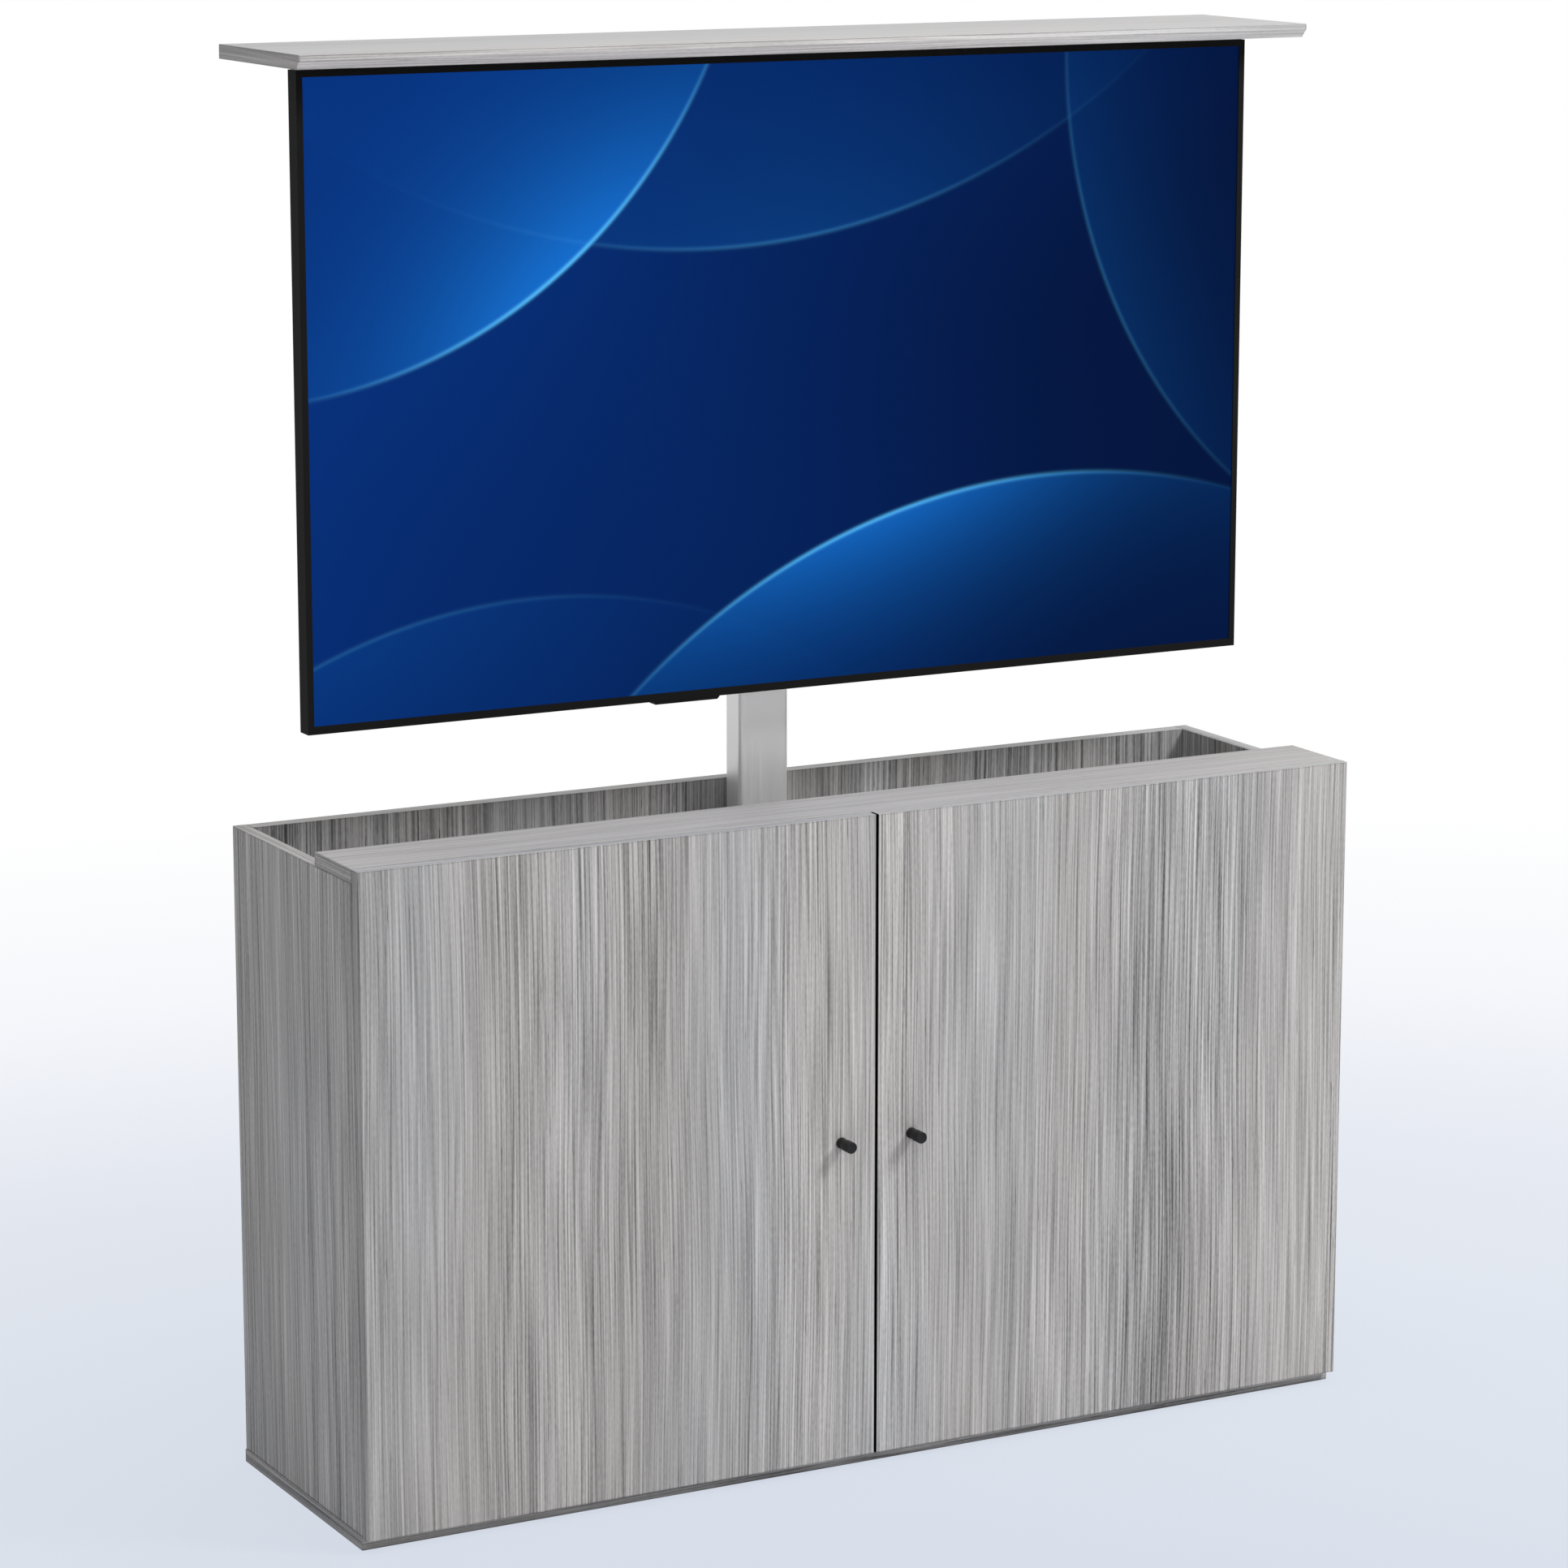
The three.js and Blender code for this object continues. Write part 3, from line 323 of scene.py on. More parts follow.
# painted light and shade: faces whose tone is drawn lighter or darker, as a share of the print's, for the
# light that falls on them (the lid's front, underside and left end lighter and its top darker, the back's
# inner face darker, and the doors' meeting edges near black): the axis that they face along, which way, the
# share, and how much of the band there shows on the faces beside it
litAndShadedFaces = {
    "back_panel": [(1, -1, 0.85, 0.0)],
    "lid_panel": [(1, -1, 1.2, 0.0), (2, -1, 1.25, 0.0), (0, -1, 1.38, 0.0), (2, 1, 0.96, 0.0)],
    # painted shade in the doors' meeting gap, reaching 0.5 mm onto the faces beside it
    "left_door": [(0, 1, gapShadeTone, 0.0005)],
    "right_door": [(0, -1, gapShadeTone, 0.0005)],
}


def edgeDistance(n, parts, low, high):
    # On a face of a box one of the three gaps to its sides is nothing, so the middle one of the
    # three is the way to the nearest edge
    gaps = []
    for part, a, b in zip(parts, low, high):
        off = n.math("ABSOLUTE", n.math("SUBTRACT", part, (a + b) / 2))
        gaps.append(n.math("SUBTRACT", (b - a) / 2, off))
    x, y, z = gaps
    return n.math("MAXIMUM", n.math("MINIMUM", x, y), n.math("MINIMUM", n.math("MAXIMUM", x, y), z))


def boardPrint(n, name, along, cut, parts, facing):
    # The way to read any pattern of the print on one board. On an end face the print is turned, so that
    # its lines run along the edge band there.
    low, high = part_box(name)
    axis = "xyz".index(along)
    wide, thin = sorted((i for i in range(3) if i != axis), key=lambda i: low[i] - high[i])
    end = n.math("GREATER_THAN", n.math("ABSOLUTE", facing[axis]), laminate["endFacing"])
    run = n.mix(end, parts[axis], parts[wide])
    across = n.math("ADD", n.mix(end, parts[wide], parts[thin]), cut)
    depth = n.mix(end, parts[thin], parts[axis])
    drift = laminate["drift"]
    leanPlace = n.combine(n.math("MULTIPLY", across, drift["quicker"]), depth, run)
    lean = n.noise(leanPlace, drift["perMetre"], drift["finer"])
    across = n.math("MULTIPLY_ADD", n.math("SUBTRACT", lean, 0.5), drift["reach"], across)
    offset = n.noise(n.combine(across, depth, 0.0), laminate["uneven"]["perMetre"], 0.0)
    ragged = n.math("MULTIPLY_ADD", offset, laminate["uneven"]["reach"], run)

    def pattern(kind):
        layer = laminate[kind]
        down = n.math("MULTIPLY", run if layer.get("even") else ragged, layer["stretch"])
        place = n.combine(n.math("ADD", across, layer["shift"]), depth, down)
        return n.noise(place, layer["perMetre"], layer.get("finer", 0.0), layer.get("rough", 0.5))

    return pattern


def grain(n, pattern, facing, contrast):
    # The tone of the grain as a share of the laminate's, and the patterns that it was made from
    tone = 0.0
    fields = {}
    for kind in ("figure", "streaks", "fibres", "speckle", "bands"):
        fields[kind] = pattern(kind)
        tone = n.math("MULTIPLY_ADD", n.math("SUBTRACT", fields[kind], 0.5), laminate[kind]["sum"], tone)

    # a line lies wherever a slow field crosses its middle value
    patches = laminate["linePatches"]
    lineShare = n.span(pattern("linePatches"), *patches["limits"], *patches["shares"])
    for kind in ("paleLines", "darkLines"):
        away = n.math("ABSOLUTE", n.math("SUBTRACT", pattern(kind), 0.5))
        fields[kind] = n.span(away, 0.0, laminate[kind]["width"], 1.0, 0.0)
        shown = n.math("MULTIPLY", fields[kind], lineShare)
        tone = n.math("MULTIPLY_ADD", shown, laminate[kind]["sum"], tone)
    pores = laminate["pores"]
    fields["pores"] = n.span(pattern("pores"), *pores["limits"])
    tone = n.math("SUBTRACT", tone, n.math("MULTIPLY", fields["pores"], pores["depth"]))

    zones = laminate["zones"]
    # painted sheen: the grain is drawn calmer on faces that look up
    lively = n.span(facing[2], *laminate["topFacing"], contrast, contrast * laminate["topSheenCalm"], smooth=True)
    zoneShare = n.span(pattern("zones"), *zones["limits"], *zones["shares"], smooth=True)
    tone = n.math("MULTIPLY_ADD", tone, n.math("MULTIPLY", lively, zoneShare), 1.0)
    return n.math("MAXIMUM", tone, laminate["darkest"]), fields


def edgeShare(n, parts, low, high):
    # A dark line near each edge, partly the seam between each edge band and the board's face and partly
    # painted shade of the joints and gaps, and a painted highlight on the edge itself
    toEdge = edgeDistance(n, parts, low, high)
    nearSide, farSide = laminate["seamAndShadeBand"]
    bandMiddle = (nearSide + farSide) / 2
    awayFromMiddle = n.math("ABSOLUTE", n.math("SUBTRACT", toEdge, bandMiddle))
    # the band's seam, darkened further as painted shade of the joints
    seamAndShadeLine = n.span(awayFromMiddle, 0.0, farSide - bandMiddle, laminate["seamAndShadeDepth"], 0.0)
    # painted highlight along the edge itself
    arris = n.span(toEdge, 0.0, nearSide, laminate["arrisHighlight"], 0.0)
    return n.math("ADD", n.math("SUBTRACT", 1.0, seamAndShadeLine), arris)


def laminateMaterial(name, along, cut, contrast):
    material, n, paint = newMaterial(name + "_laminate")
    low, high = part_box(name)
    parts = n.separate(n.place())
    facing = n.facing()
    pattern = boardPrint(n, name, along, cut, parts, facing)
    tone, fields = grain(n, pattern, facing, contrast)
    tone = n.math("MULTIPLY", tone, edgeShare(n, parts, low, high))
    specular = laminate["specular"]
    # painted light and shade: named faces drawn lighter or darker, and the doors' meeting edges near black
    for axis, way, share, beside in litAndShadedFaces.get(name, []):
        turnedThere = n.math("GREATER_THAN", n.math("MULTIPLY", facing[axis], way), laminate["otherFacing"])
        toFace = n.math("ABSOLUTE", n.math("SUBTRACT", parts[axis], (low if way < 0 else high)[axis]))
        there = n.math("MAXIMUM", turnedThere, n.math("LESS_THAN", toFace, beside))
        tone = n.math("MULTIPLY", tone, n.mix(there, 1.0, share))
        if share == gapShadeTone:
            specular = n.mix(there, specular, 0.0)      # the painted gap shade is matt as well

    warmth = n.span(pattern("tint"), *laminate["tint"]["limits"])
    colour = n.mix(warmth, laminate["cool"], laminate["warm"], "VECTOR")
    n.feed(paint.inputs["Base Color"], n.scaled(colour, n.math("MULTIPLY", tone, laminate["tone"])))
    roughness = laminate["roughness"]
    spread = laminate["roughnessSpread"]
    n.feed(paint.inputs["Roughness"],
           n.span(fields["figure"], *laminate["figureLimits"], roughness + spread, roughness - spread))
    n.feed(paint.inputs["Specular IOR Level"], specular)
    relief = n.math("SUBTRACT", fields["fibres"], n.math("ADD", fields["pores"], fields["darkLines"]))
    n.feed(paint.inputs["Normal"], n.bump(relief, laminate["reliefStrength"], laminate["reliefDepth"]))
    return material


# Painted, moulded, plated and drawn surfaces: a fine uneven skin, and slow changes of tone
satin = {
    "skinFiner": 3.0,
    "skinLimits": (0.3, 0.7),
    "wearPerMetre": 7.0,
    "wearFiner": 2.0,
    "darkShare": 0.88,
    "lightShare": 1.1,
    "roughnessSpread": 0.05,
    "reliefStrength": 0.1,
    "reliefDepth": 0.0001,
}


def satinMaterial(name, colour, roughness, metallic=0.0, specular=0.5, perMetre=900.0, stretch=1.0):
    # A stretch below 1 draws the skin out along z
    material, n, paint = newMaterial(name)
    x, y, z = n.separate(n.place())
    skin = n.noise(n.combine(x, y, n.math("MULTIPLY", z, stretch)), perMetre, satin["skinFiner"])
    wear = n.noise(n.place(), satin["wearPerMetre"], satin["wearFiner"])
    dark = tuple(c * satin["darkShare"] for c in colour)
    light = tuple(min(1.0, c * satin["lightShare"]) for c in colour)
    n.feed(paint.inputs["Base Color"], n.mix(wear, (*dark, 1.0), (*light, 1.0), "RGBA"))
    spread = satin["roughnessSpread"]
    n.feed(paint.inputs["Roughness"],
           n.span(skin, *satin["skinLimits"], roughness - spread, roughness + spread))
    paint.inputs["Metallic"].default_value = metallic
    paint.inputs["Specular IOR Level"].default_value = specular
    n.feed(paint.inputs["Normal"], n.bump(skin, satin["reliefStrength"], satin["reliefDepth"]))
    return material


# The picture on the screen: wide discs of blue light that lie over each other, each with a lit rim.
# Places are in metres from the middle of the screen: right, then up.
screenPicture = {
    "glass": (0.0005, 0.001, 0.003),
    "roughness": 0.16,
    "specular": 0.008,
    "night": (0.0005, 0.006, 0.042),
    "deep": (0.0016, 0.03, 0.2),
    "fall": 1.4,                # how fast deep blue turns to night from the left to the right
    "slant": -0.55,             # how far that change leans with the height
    "clouds": {"perMetre": 1.5, "finer": 1.0, "reach": 0.4},
    "glow": (0.008, 0.17, 0.66),
    "rim": (0.09, 0.5, 0.98),
    "rimWidth": 0.0024,
    "strongest": 0.9,           # how far the light of a disc covers what lies under it
    "evenShare": 0.08,          # how much of that light is not gathered at the hot spot
    "discs": [
        {"middle": (-0.64, 0.6), "radius": 0.6, "hot": (-0.27, 0.13),
         "spread": 0.2, "fade": 0.13, "light": 1.0},
        {"middle": (0.34, -0.93), "radius": 0.8, "hot": (0.1, -0.17),
         "spread": 0.24, "fade": 0.08, "light": 0.8},
        {"middle": (-0.3, -0.88), "radius": 0.66, "hot": (-0.5, -0.27),
         "spread": 0.26, "fade": 0.14, "light": 0.1},
        {"middle": (0.98, 0.34), "radius": 0.64, "hot": (0.4, 0.1),
         "spread": 0.26, "fade": 0.1, "light": 0.12},
        {"middle": (-0.1, 1.0), "radius": 0.86, "hot": (0.0, 0.16),
         "spread": 0.26, "fade": 0.16, "light": 0.17},
    ],
}


def screenMaterial():
    material, n, paint = newMaterial("litScreen")
    low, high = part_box("tv_screen")
    x, y, z = n.separate(n.place())
    up = n.math("SUBTRACT", z, (low[2] + high[2]) / 2)
    spot = n.combine(x, up, 0.0)
    clouds = screenPicture["clouds"]
    field = n.noise(spot, clouds["perMetre"], clouds["finer"])
    leftness = n.span(n.math("MULTIPLY_ADD", up, screenPicture["slant"], x), low[0], high[0], 1.0, 0.0)
    fall = n.math("POWER", leftness, screenPicture["fall"])
    amount = n.math("MULTIPLY_ADD", n.math("SUBTRACT", field, 0.5), clouds["reach"], fall)
    colour = n.mix(amount, (*screenPicture["night"], 1.0), (*screenPicture["deep"], 1.0), "RGBA")
    evenShare = screenPicture["evenShare"]
    for disc in screenPicture["discs"]:
        strength = disc["light"] * screenPicture["strongest"]
        inside = n.math("SUBTRACT", disc["radius"], n.distance(spot, (*disc["middle"], 0.0)))
        hot = n.bell(n.math("DIVIDE", n.distance(spot, (*disc["hot"], 0.0)), disc["spread"]))
        fade = n.math("EXPONENT", n.math("DIVIDE", n.math("ABSOLUTE", inside), -disc["fade"]))
        veil = n.math("MULTIPLY_ADD", hot, 1 - evenShare, evenShare)
        lit = n.math("MULTIPLY", n.math("MULTIPLY", fade, n.math("GREATER_THAN", inside, 0.0)), veil)
        colour = n.mix(n.math("MULTIPLY", lit, strength), colour, (*screenPicture["glow"], 1.0), "RGBA")
        thin = n.bell(n.math("DIVIDE", inside, screenPicture["rimWidth"]))
        edge = n.math("MULTIPLY", n.math("MULTIPLY", thin, hot), strength)
        colour = n.mix(edge, colour, (*screenPicture["rim"], 1.0), "RGBA")
    paint.inputs["Base Color"].default_value = (*screenPicture["glass"], 1.0)
    n.feed(paint.inputs["Emission Color"], colour)
    paint.inputs["Emission Strength"].default_value = 1.0
    paint.inputs["Roughness"].default_value = screenPicture["roughness"]
    paint.inputs["Specular IOR Level"].default_value = screenPicture["specular"]
    return material


# Finishes of the metal and plastic pieces, by the record's slots
finishes = {
    "column_silver": satinMaterial("columnSilver", (0.9, 0.9, 0.9), roughness=0.38, metallic=0.55,
                                   perMetre=700.0, stretch=0.02),
    "black_plastic": satinMaterial("blackPlastic", (0.014, 0.014, 0.015), roughness=0.5, specular=0.3),
    "tv_frame_black": satinMaterial("frameBlack", (0.011, 0.011, 0.011), roughness=0.5, specular=0.02),
    "dark_steel": satinMaterial("darkSteel", (0.018, 0.018, 0.02), roughness=0.48, specular=0.4,
                                perMetre=1500.0),
    "hinge_nickel": satinMaterial("hingeNickel", (0.62, 0.61, 0.6), roughness=0.28, metallic=1.0),
    "link_steel": satinMaterial("linkSteel", (0.5, 0.5, 0.51), roughness=0.36, metallic=1.0),
    "nut_brass": satinMaterial("nutBrass", (0.62, 0.47, 0.2), roughness=0.35, metallic=1.0),
    "tray_plastic": satinMaterial("trayGrey", (0.5, 0.5, 0.5), roughness=0.5),
    "knob_black": satinMaterial("knobBlack", (0.009, 0.009, 0.0095), roughness=0.46, specular=0.25,
                                perMetre=1800.0),
    "screen_glass": screenMaterial(),
}
# the nodes that take each finish, besides those of the hinges
dressed = {
    "column_silver": ["outer_column", "middle_column", "inner_column"],
    "black_plastic": ["cable_grommet", "control_box", "power_inlet", "outer_slide_collar",
                      "middle_slide_collar", "tv_rear_cover"],
    "tv_frame_black": ["tv_frame", "tv_receiver"],
    "dark_steel": ["lift_base_plate", "lift_gearbox", "column_bracket", "left_tv_arm", "right_tv_arm",
                   "lower_mount_rail", "upper_mount_rail", "mount_upright", "column_head", "lid_plate"],
    "link_steel": ["lift_motor", "lower_spindle", "upper_spindle"],
    "nut_brass": ["middle_nut_block", "inner_nut_block"],
    "tray_plastic": ["tv_backlight_tray"],
    "knob_black": ["left_knob", "right_knob"],
    "screen_glass": ["tv_screen"],
}
sides = {"left": -1, "right": 1}        # each side's way along x
levels = ("lower", "upper")


def setMaterial(material, *names):
    for name in names:
        slots = nodes[name].data.materials
        slots.clear()
        slots.append(material)


def dressNodes():
    for name, board in boards.items():
        setMaterial(laminateMaterial(name, *board), name)
    for slotName, names in dressed.items():
        setMaterial(finishes[slotName], *names)
    for side in sides:
        for level in levels:
            start = f"{side}_{level}_hinge_"
            setMaterial(finishes["hinge_nickel"], start + "plate", start + "arm", start + "cup")
            setMaterial(finishes["link_steel"], start + "outer_link", start + "inner_link")
    print("finishes: on every node")


def turned(radii, heights, segments, outline=None, shares=None):
    # A profile carried round the z axis: a point is radius(row) times the angle's cosine and sine, at
    # height(row). With an outline, a row's radius is drawn by its share towards outline(angle).
    # The first and last rows lie on the axis and close as poles.
    radii = np.array(radii)
    heights = np.array(heights)
    angle = np.arange(segments) * 2 * math.pi / segments
    reach = radii[1:-1, None] * np.ones(segments)
    if outline is not None:
        reach = reach * (1 + np.array(shares)[1:-1, None] * (outline(angle) - 1))
    level = heights[1:-1, None] * np.ones(segments)
    rings = np.stack([reach * np.cos(angle), reach * np.sin(angle), level], -1).reshape(-1, 3)
    points = np.vstack([[0, 0, heights[0]], rings, [0, 0, heights[-1]]])
    i = np.arange(segments)
    after = (i + 1) % segments
    starts = 1 + np.arange(len(radii) - 3)[:, None] * segments
    walls = np.stack([starts + i, starts + after, starts + segments + after, starts + segments + i], -1)
    last = 1 + (len(radii) - 3) * segments
    foot = np.stack([np.zeros(segments, int), 1 + after, 1 + i], -1)
    crown = np.stack([last + i, last + after, np.full(segments, len(points) - 1)], -1)
    return points, walls.reshape(-1, 4).tolist() + foot.tolist() + crown.tolist()


def facingFrame(direction):
    # Three columns: two square to the direction, and the direction itself as the new z
    out = np.array(direction, float)
    side = np.cross((0.0, 0.0, 1.0) if abs(out[2]) < 0.9 else (1.0, 0.0, 0.0), out)
    side /= np.linalg.norm(side)
    return np.stack([side, np.cross(out, side), out], 1)


def placed(shape, seats):
    # Copies of one shape: each seat is a place and the direction that the shape's z axis takes there
    points, faces = shape
    allPoints = []
    allFaces = []
    for index, (place, direction) in enumerate(seats):
        allPoints.append(points @ facingFrame(direction).T + np.array(place))
        allFaces += [[corner + index * len(points) for corner in face] for face in faces]
    return np.vstack(allPoints), allFaces


def middle(name, axis):
    low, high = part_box(name)
    return (low[axis] + high[axis]) / 2


def around(centre, reach):
    # The two places at a reach to both sides, or the centre alone
    return (centre - reach, centre + reach) if reach else (centre,)


def seatsAt(direction, xs, ys, zs):
    # Every combination of the places given for x, y and z, all with one direction
    return [((x, y, z), direction) for x in xs for y in ys for z in zs]


creaseAngle = math.radians(30.0)        # edges that turn by more than this are shaded sharp


def addPiece(name, shape, slotName, body):
    points, faces = shape
    mesh = bpy.data.meshes.new(name)
    mesh.from_pydata(points.tolist(), [], faces)
    mesh.materials.append(finishes[slotName])
    mesh.shade_smooth()
    mesh.set_sharp_from_angle(angle=creaseAngle)
    piece = bpy.data.objects.new(name, mesh)
    bpy.context.scene.collection.objects.link(piece)
    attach(piece, body)
    return piece


# Screws and bolts: rounded heads with a cross or six-sided socket. All but the first two are shares of
# the head's radius or height, and a point of its side is given as both.
fastener = {
    "segments": 32,
    "sunk": 0.0002,
    "underside": 0.97,
    "side": [(1.0, 0.12), (1.0, 0.45), (0.94, 0.78), (0.82, 0.95), (0.7, 1.0)],
    "socketDepth": 0.62,
    "socketTaper": 0.9,         # the socket's floor beside its mouth, and the floor's middle beside its rim
    "crossReach": 0.6,
    "crossWaist": 0.3,
    "hexReach": 0.46,
}


def crossOutline(angle):
    # Four arms: the reach falls off from each arm's middle by the fourth power of the cosine
    waist = fastener["crossWaist"] / fastener["crossReach"]
    return waist + (1 - waist) * np.abs(np.cos(2 * angle)) ** 4


def hexOutline(angle):
    # A regular hexagon: the flat's distance over the cosine of the angle from its middle
    return math.cos(math.pi / 6) / np.cos((angle + math.pi / 6) % (math.pi / 3) - math.pi / 6)


def screwHead(radius, height, socket="cross"):
    reach = radius * fastener[socket + "Reach"]
    floor = height * (1 - fastener["socketDepth"])
    rows = [
        (0.0, -fastener["sunk"], 0),
        (radius * fastener["underside"], -fastener["sunk"], 0),
        *[(radius * out, height * up, 0) for out, up in fastener["side"]],
        (reach, height, 1),
        (reach * fastener["socketTaper"], floor, 1),
        (0.0, floor * fastener["socketTaper"], 0),
    ]
    radii, heights, shares = zip(*rows)
    outline = crossOutline if socket == "cross" else hexOutline
    return turned(radii, heights, fastener["segments"], outline, shares)


# Knobs: a turned collar, a slimmer neck and a head with a soft edge, screwed on through the door
knob = {
    "collarRadius": 0.0061,
    "collarLength": 0.003,
    "neckRadius": 0.0052,
    "headRadius": 0.0064,
    "headLength": 0.0135,
    "length": 0.024,
    "softening": 0.0007,
    "dish": 0.0002,             # the head's face is turned very slightly hollow
    "dishShare": 0.75,          # of the head's radius
    "segments": 96,
    "screwRadius": 0.0042,
    "screwHeight": 0.0022,
}


def cornerArc(radius, height, turnFrom, turnTo, softening, steps=5):
    # A quarter round: the corner's centre plus the softening times the cosine and sine of the turn
    turn = np.linspace(turnFrom, turnTo, steps)
    return np.stack([radius + softening * np.cos(turn), height + softening * np.sin(turn)], 1)


def knobShape():
    soft = knob["softening"]
    quarter = math.pi / 2
    headFoot = knob["length"] - knob["headLength"]
    face = knob["length"] - knob["dish"]
    profile = np.vstack([
        [[0, 0], [knob["collarRadius"], 0]],
        cornerArc(knob["collarRadius"] - soft, knob["collarLength"] - soft, 0, quarter, soft),
        [[knob["neckRadius"], knob["collarLength"]], [knob["neckRadius"], headFoot]],
        cornerArc(knob["headRadius"] - soft, headFoot + soft, -quarter, 0, soft),
        cornerArc(knob["headRadius"] - soft, knob["length"] - soft, 0, quarter, soft),
        [[knob["headRadius"] * knob["dishShare"], face], [0, face]],
    ])
    return turned(profile[:, 0], profile[:, 1], knob["segments"])


def makeKnobs():
    screw = screwHead(knob["screwRadius"], knob["screwHeight"])
    for side in sides:
        x = middle(side + "_knob", 0)
        z = middle(side + "_knob", 2)
        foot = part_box(side + "_knob")[1][1]
        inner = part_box(side + "_door")[1][1]
        piece = addPiece(side + "_turned_knob", placed(knobShape(), [((x, foot, z), (0, -1, 0))]),
                         "knob_black", side + "_leaf")
        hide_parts(side + "_knob")
        addPiece(side + "_knob_screw", placed(screw, [((x, inner, z), (0, 1, 0))]),
                 "hinge_nickel", side + "_leaf")
    print("knobs: turned, with their screws")


# Hinge screws: two in each mounting plate, two in each arm and two in each cup's flange
hingeScrews = {
    "plateRadius": 0.0037,
    "plateHeight": 0.0012,
    "plateSpacing": 0.032,
    "plateBack": 0.021,             # behind the plate's front
    "armRadius": 0.0031,
    "armHeight": 0.0014,
    "armFace": 0.013,               # the arm's face from the side panel
    "armBacks": (0.030, 0.054),     # behind the arm's front
    "flangeRadius": 0.0032,
    "flangeHeight": 0.00025,
    "flangeSpacing": 0.048,
    "flangeMiddle": 0.0165,         # from the flange's outer side
}


def makeHingeScrews():
    for side, sign in sides.items():
        plates = []
        arms = []
        flanges = []
        for level in levels:
            start = f"{side}_{level}_hinge_"
            plateLow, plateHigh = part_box(start + "plate")
            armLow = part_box(start + "arm")[0]
            cupLow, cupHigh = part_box(start + "cup")
            panelFace = sign * max(abs(plateLow[0]), abs(plateHigh[0]))
            plateFace = sign * min(abs(plateLow[0]), abs(plateHigh[0]))
            armFace = panelFace - sign * hingeScrews["armFace"]
            flangeX = sign * (max(abs(cupLow[0]), abs(cupHigh[0])) - hingeScrews["flangeMiddle"])
            z = middle(start + "plate", 2)
            plates += seatsAt((-sign, 0, 0), (plateFace,), (plateLow[1] + hingeScrews["plateBack"],),
                              around(z, hingeScrews["plateSpacing"] / 2))
            arms += seatsAt((-sign, 0, 0), (armFace,), armLow[1] + np.array(hingeScrews["armBacks"]), (z,))
            flanges += seatsAt((0, 1, 0), (flangeX,), (cupHigh[1],),
                               around(z, hingeScrews["flangeSpacing"] / 2))
        for kind, name, seats, slotName, body in (
                ("plate", "_hinge_plate_screws", plates, "hinge_nickel", "cabinet"),
                ("arm", "_hinge_adjusters", arms, "link_steel", "cabinet"),
                ("flange", "_hinge_flange_screws", flanges, "link_steel", side + "_leaf")):
            head = screwHead(hingeScrews[kind + "Radius"], hingeScrews[kind + "Height"])
            addPiece(side + name, placed(head, seats), slotName, body)
    print("hinges: screws in plates, arms and flanges")


# Screws and bolts of the television's hanging, of the column's feet and of the drive: the nodes whose
# boxes they are placed on, the ways that they face, how far to both sides of a box's middle they spread
# and how far they are moved from there. The depth is from a box's far side to the face under the head,
# and without it the heads sit on the near side.
fixings = {
    "tv_arm_screws": {
        "radius": 0.005, "height": 0.0032, "socket": "cross", "body": "inner_stage",
        "on": ["left_tv_arm", "right_tv_arm"], "facing": [(0, 1, 0)], "depth": 0.002,
        "spread": (0, 0, 0.1),
    },
    "mount_rail_bolts": {
        "radius": 0.005, "height": 0.0034, "socket": "hex", "body": "inner_stage",
        "on": ["lower_mount_rail", "upper_mount_rail"], "facing": [(0, 1, 0)], "spread": (0.1, 0, 0),
    },
    "upright_bolts": {
        "radius": 0.0045, "height": 0.0034, "socket": "hex", "body": "inner_stage",
        "on": ["lower_mount_rail", "upper_mount_rail"], "facing": [(0, 1, 0)], "depth": 0.0058,
        "spread": (0.036, 0, 0),
    },
    "column_head_bolts": {
        "radius": 0.0055, "height": 0.0036, "socket": "hex", "body": "inner_stage",
        "on": ["column_head"], "facing": [(0, 1, 0)], "depth": 0.004, "spread": (0.03, 0, 0.0175),
    },
    "lid_plate_screws": {
        "radius": 0.0042, "height": 0.0014, "socket": "cross", "body": "inner_stage",
        "on": ["lid_plate"], "facing": [(0, 0, -1)], "spread": (0.15, 0.04, 0),
    },
    "base_plate_screws": {
        "radius": 0.005, "height": 0.0028, "socket": "cross", "body": "cabinet",
        "on": ["lift_base_plate"], "facing": [(0, 0, 1)], "spread": (0.135, 0.026, 0),
    },
    "bracket_screws": {
        "radius": 0.0042, "height": 0.0026, "socket": "cross", "body": "cabinet",
        "on": ["column_bracket"], "facing": [(0, -1, 0)], "depth": 0.003, "spread": (0.05, 0, 0.012),
    },
    "bracket_bolts": {
        "radius": 0.005, "height": 0.0034, "socket": "hex", "body": "cabinet",
        "on": ["column_bracket"], "facing": [(1, 0, 0), (-1, 0, 0)], "depth": 0.0978,
        "spread": (0, 0, 0), "moved": (0, -0.013, 0),
    },
    "gearbox_screws": {
        "radius": 0.0029, "height": 0.0018, "socket": "hex", "body": "cabinet",
        "on": ["lift_gearbox"], "facing": [(0, -1, 0)], "spread": (0.015, 0, 0.018),
    },
    "control_box_screws": {
        "radius": 0.0026, "height": 0.0012, "socket": "cross", "body": "cabinet",
        "on": ["control_box"], "facing": [(0, 0, 1)], "spread": (0.06, 0.015, 0),
    },
}


def fixingSeats(kind):
    seats = []
    for name in kind["on"]:
        low, high = (np.array(corner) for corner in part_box(name))
        for facing in kind["facing"]:
            way = np.array(facing)
            face = np.where(way > 0, low, high) + way * kind.get("depth", high - low)
            centre = np.where(way == 0, (low + high) / 2 + kind.get("moved", 0), face)
            seats += seatsAt(facing, *map(around, centre, kind["spread"]))
    return seats


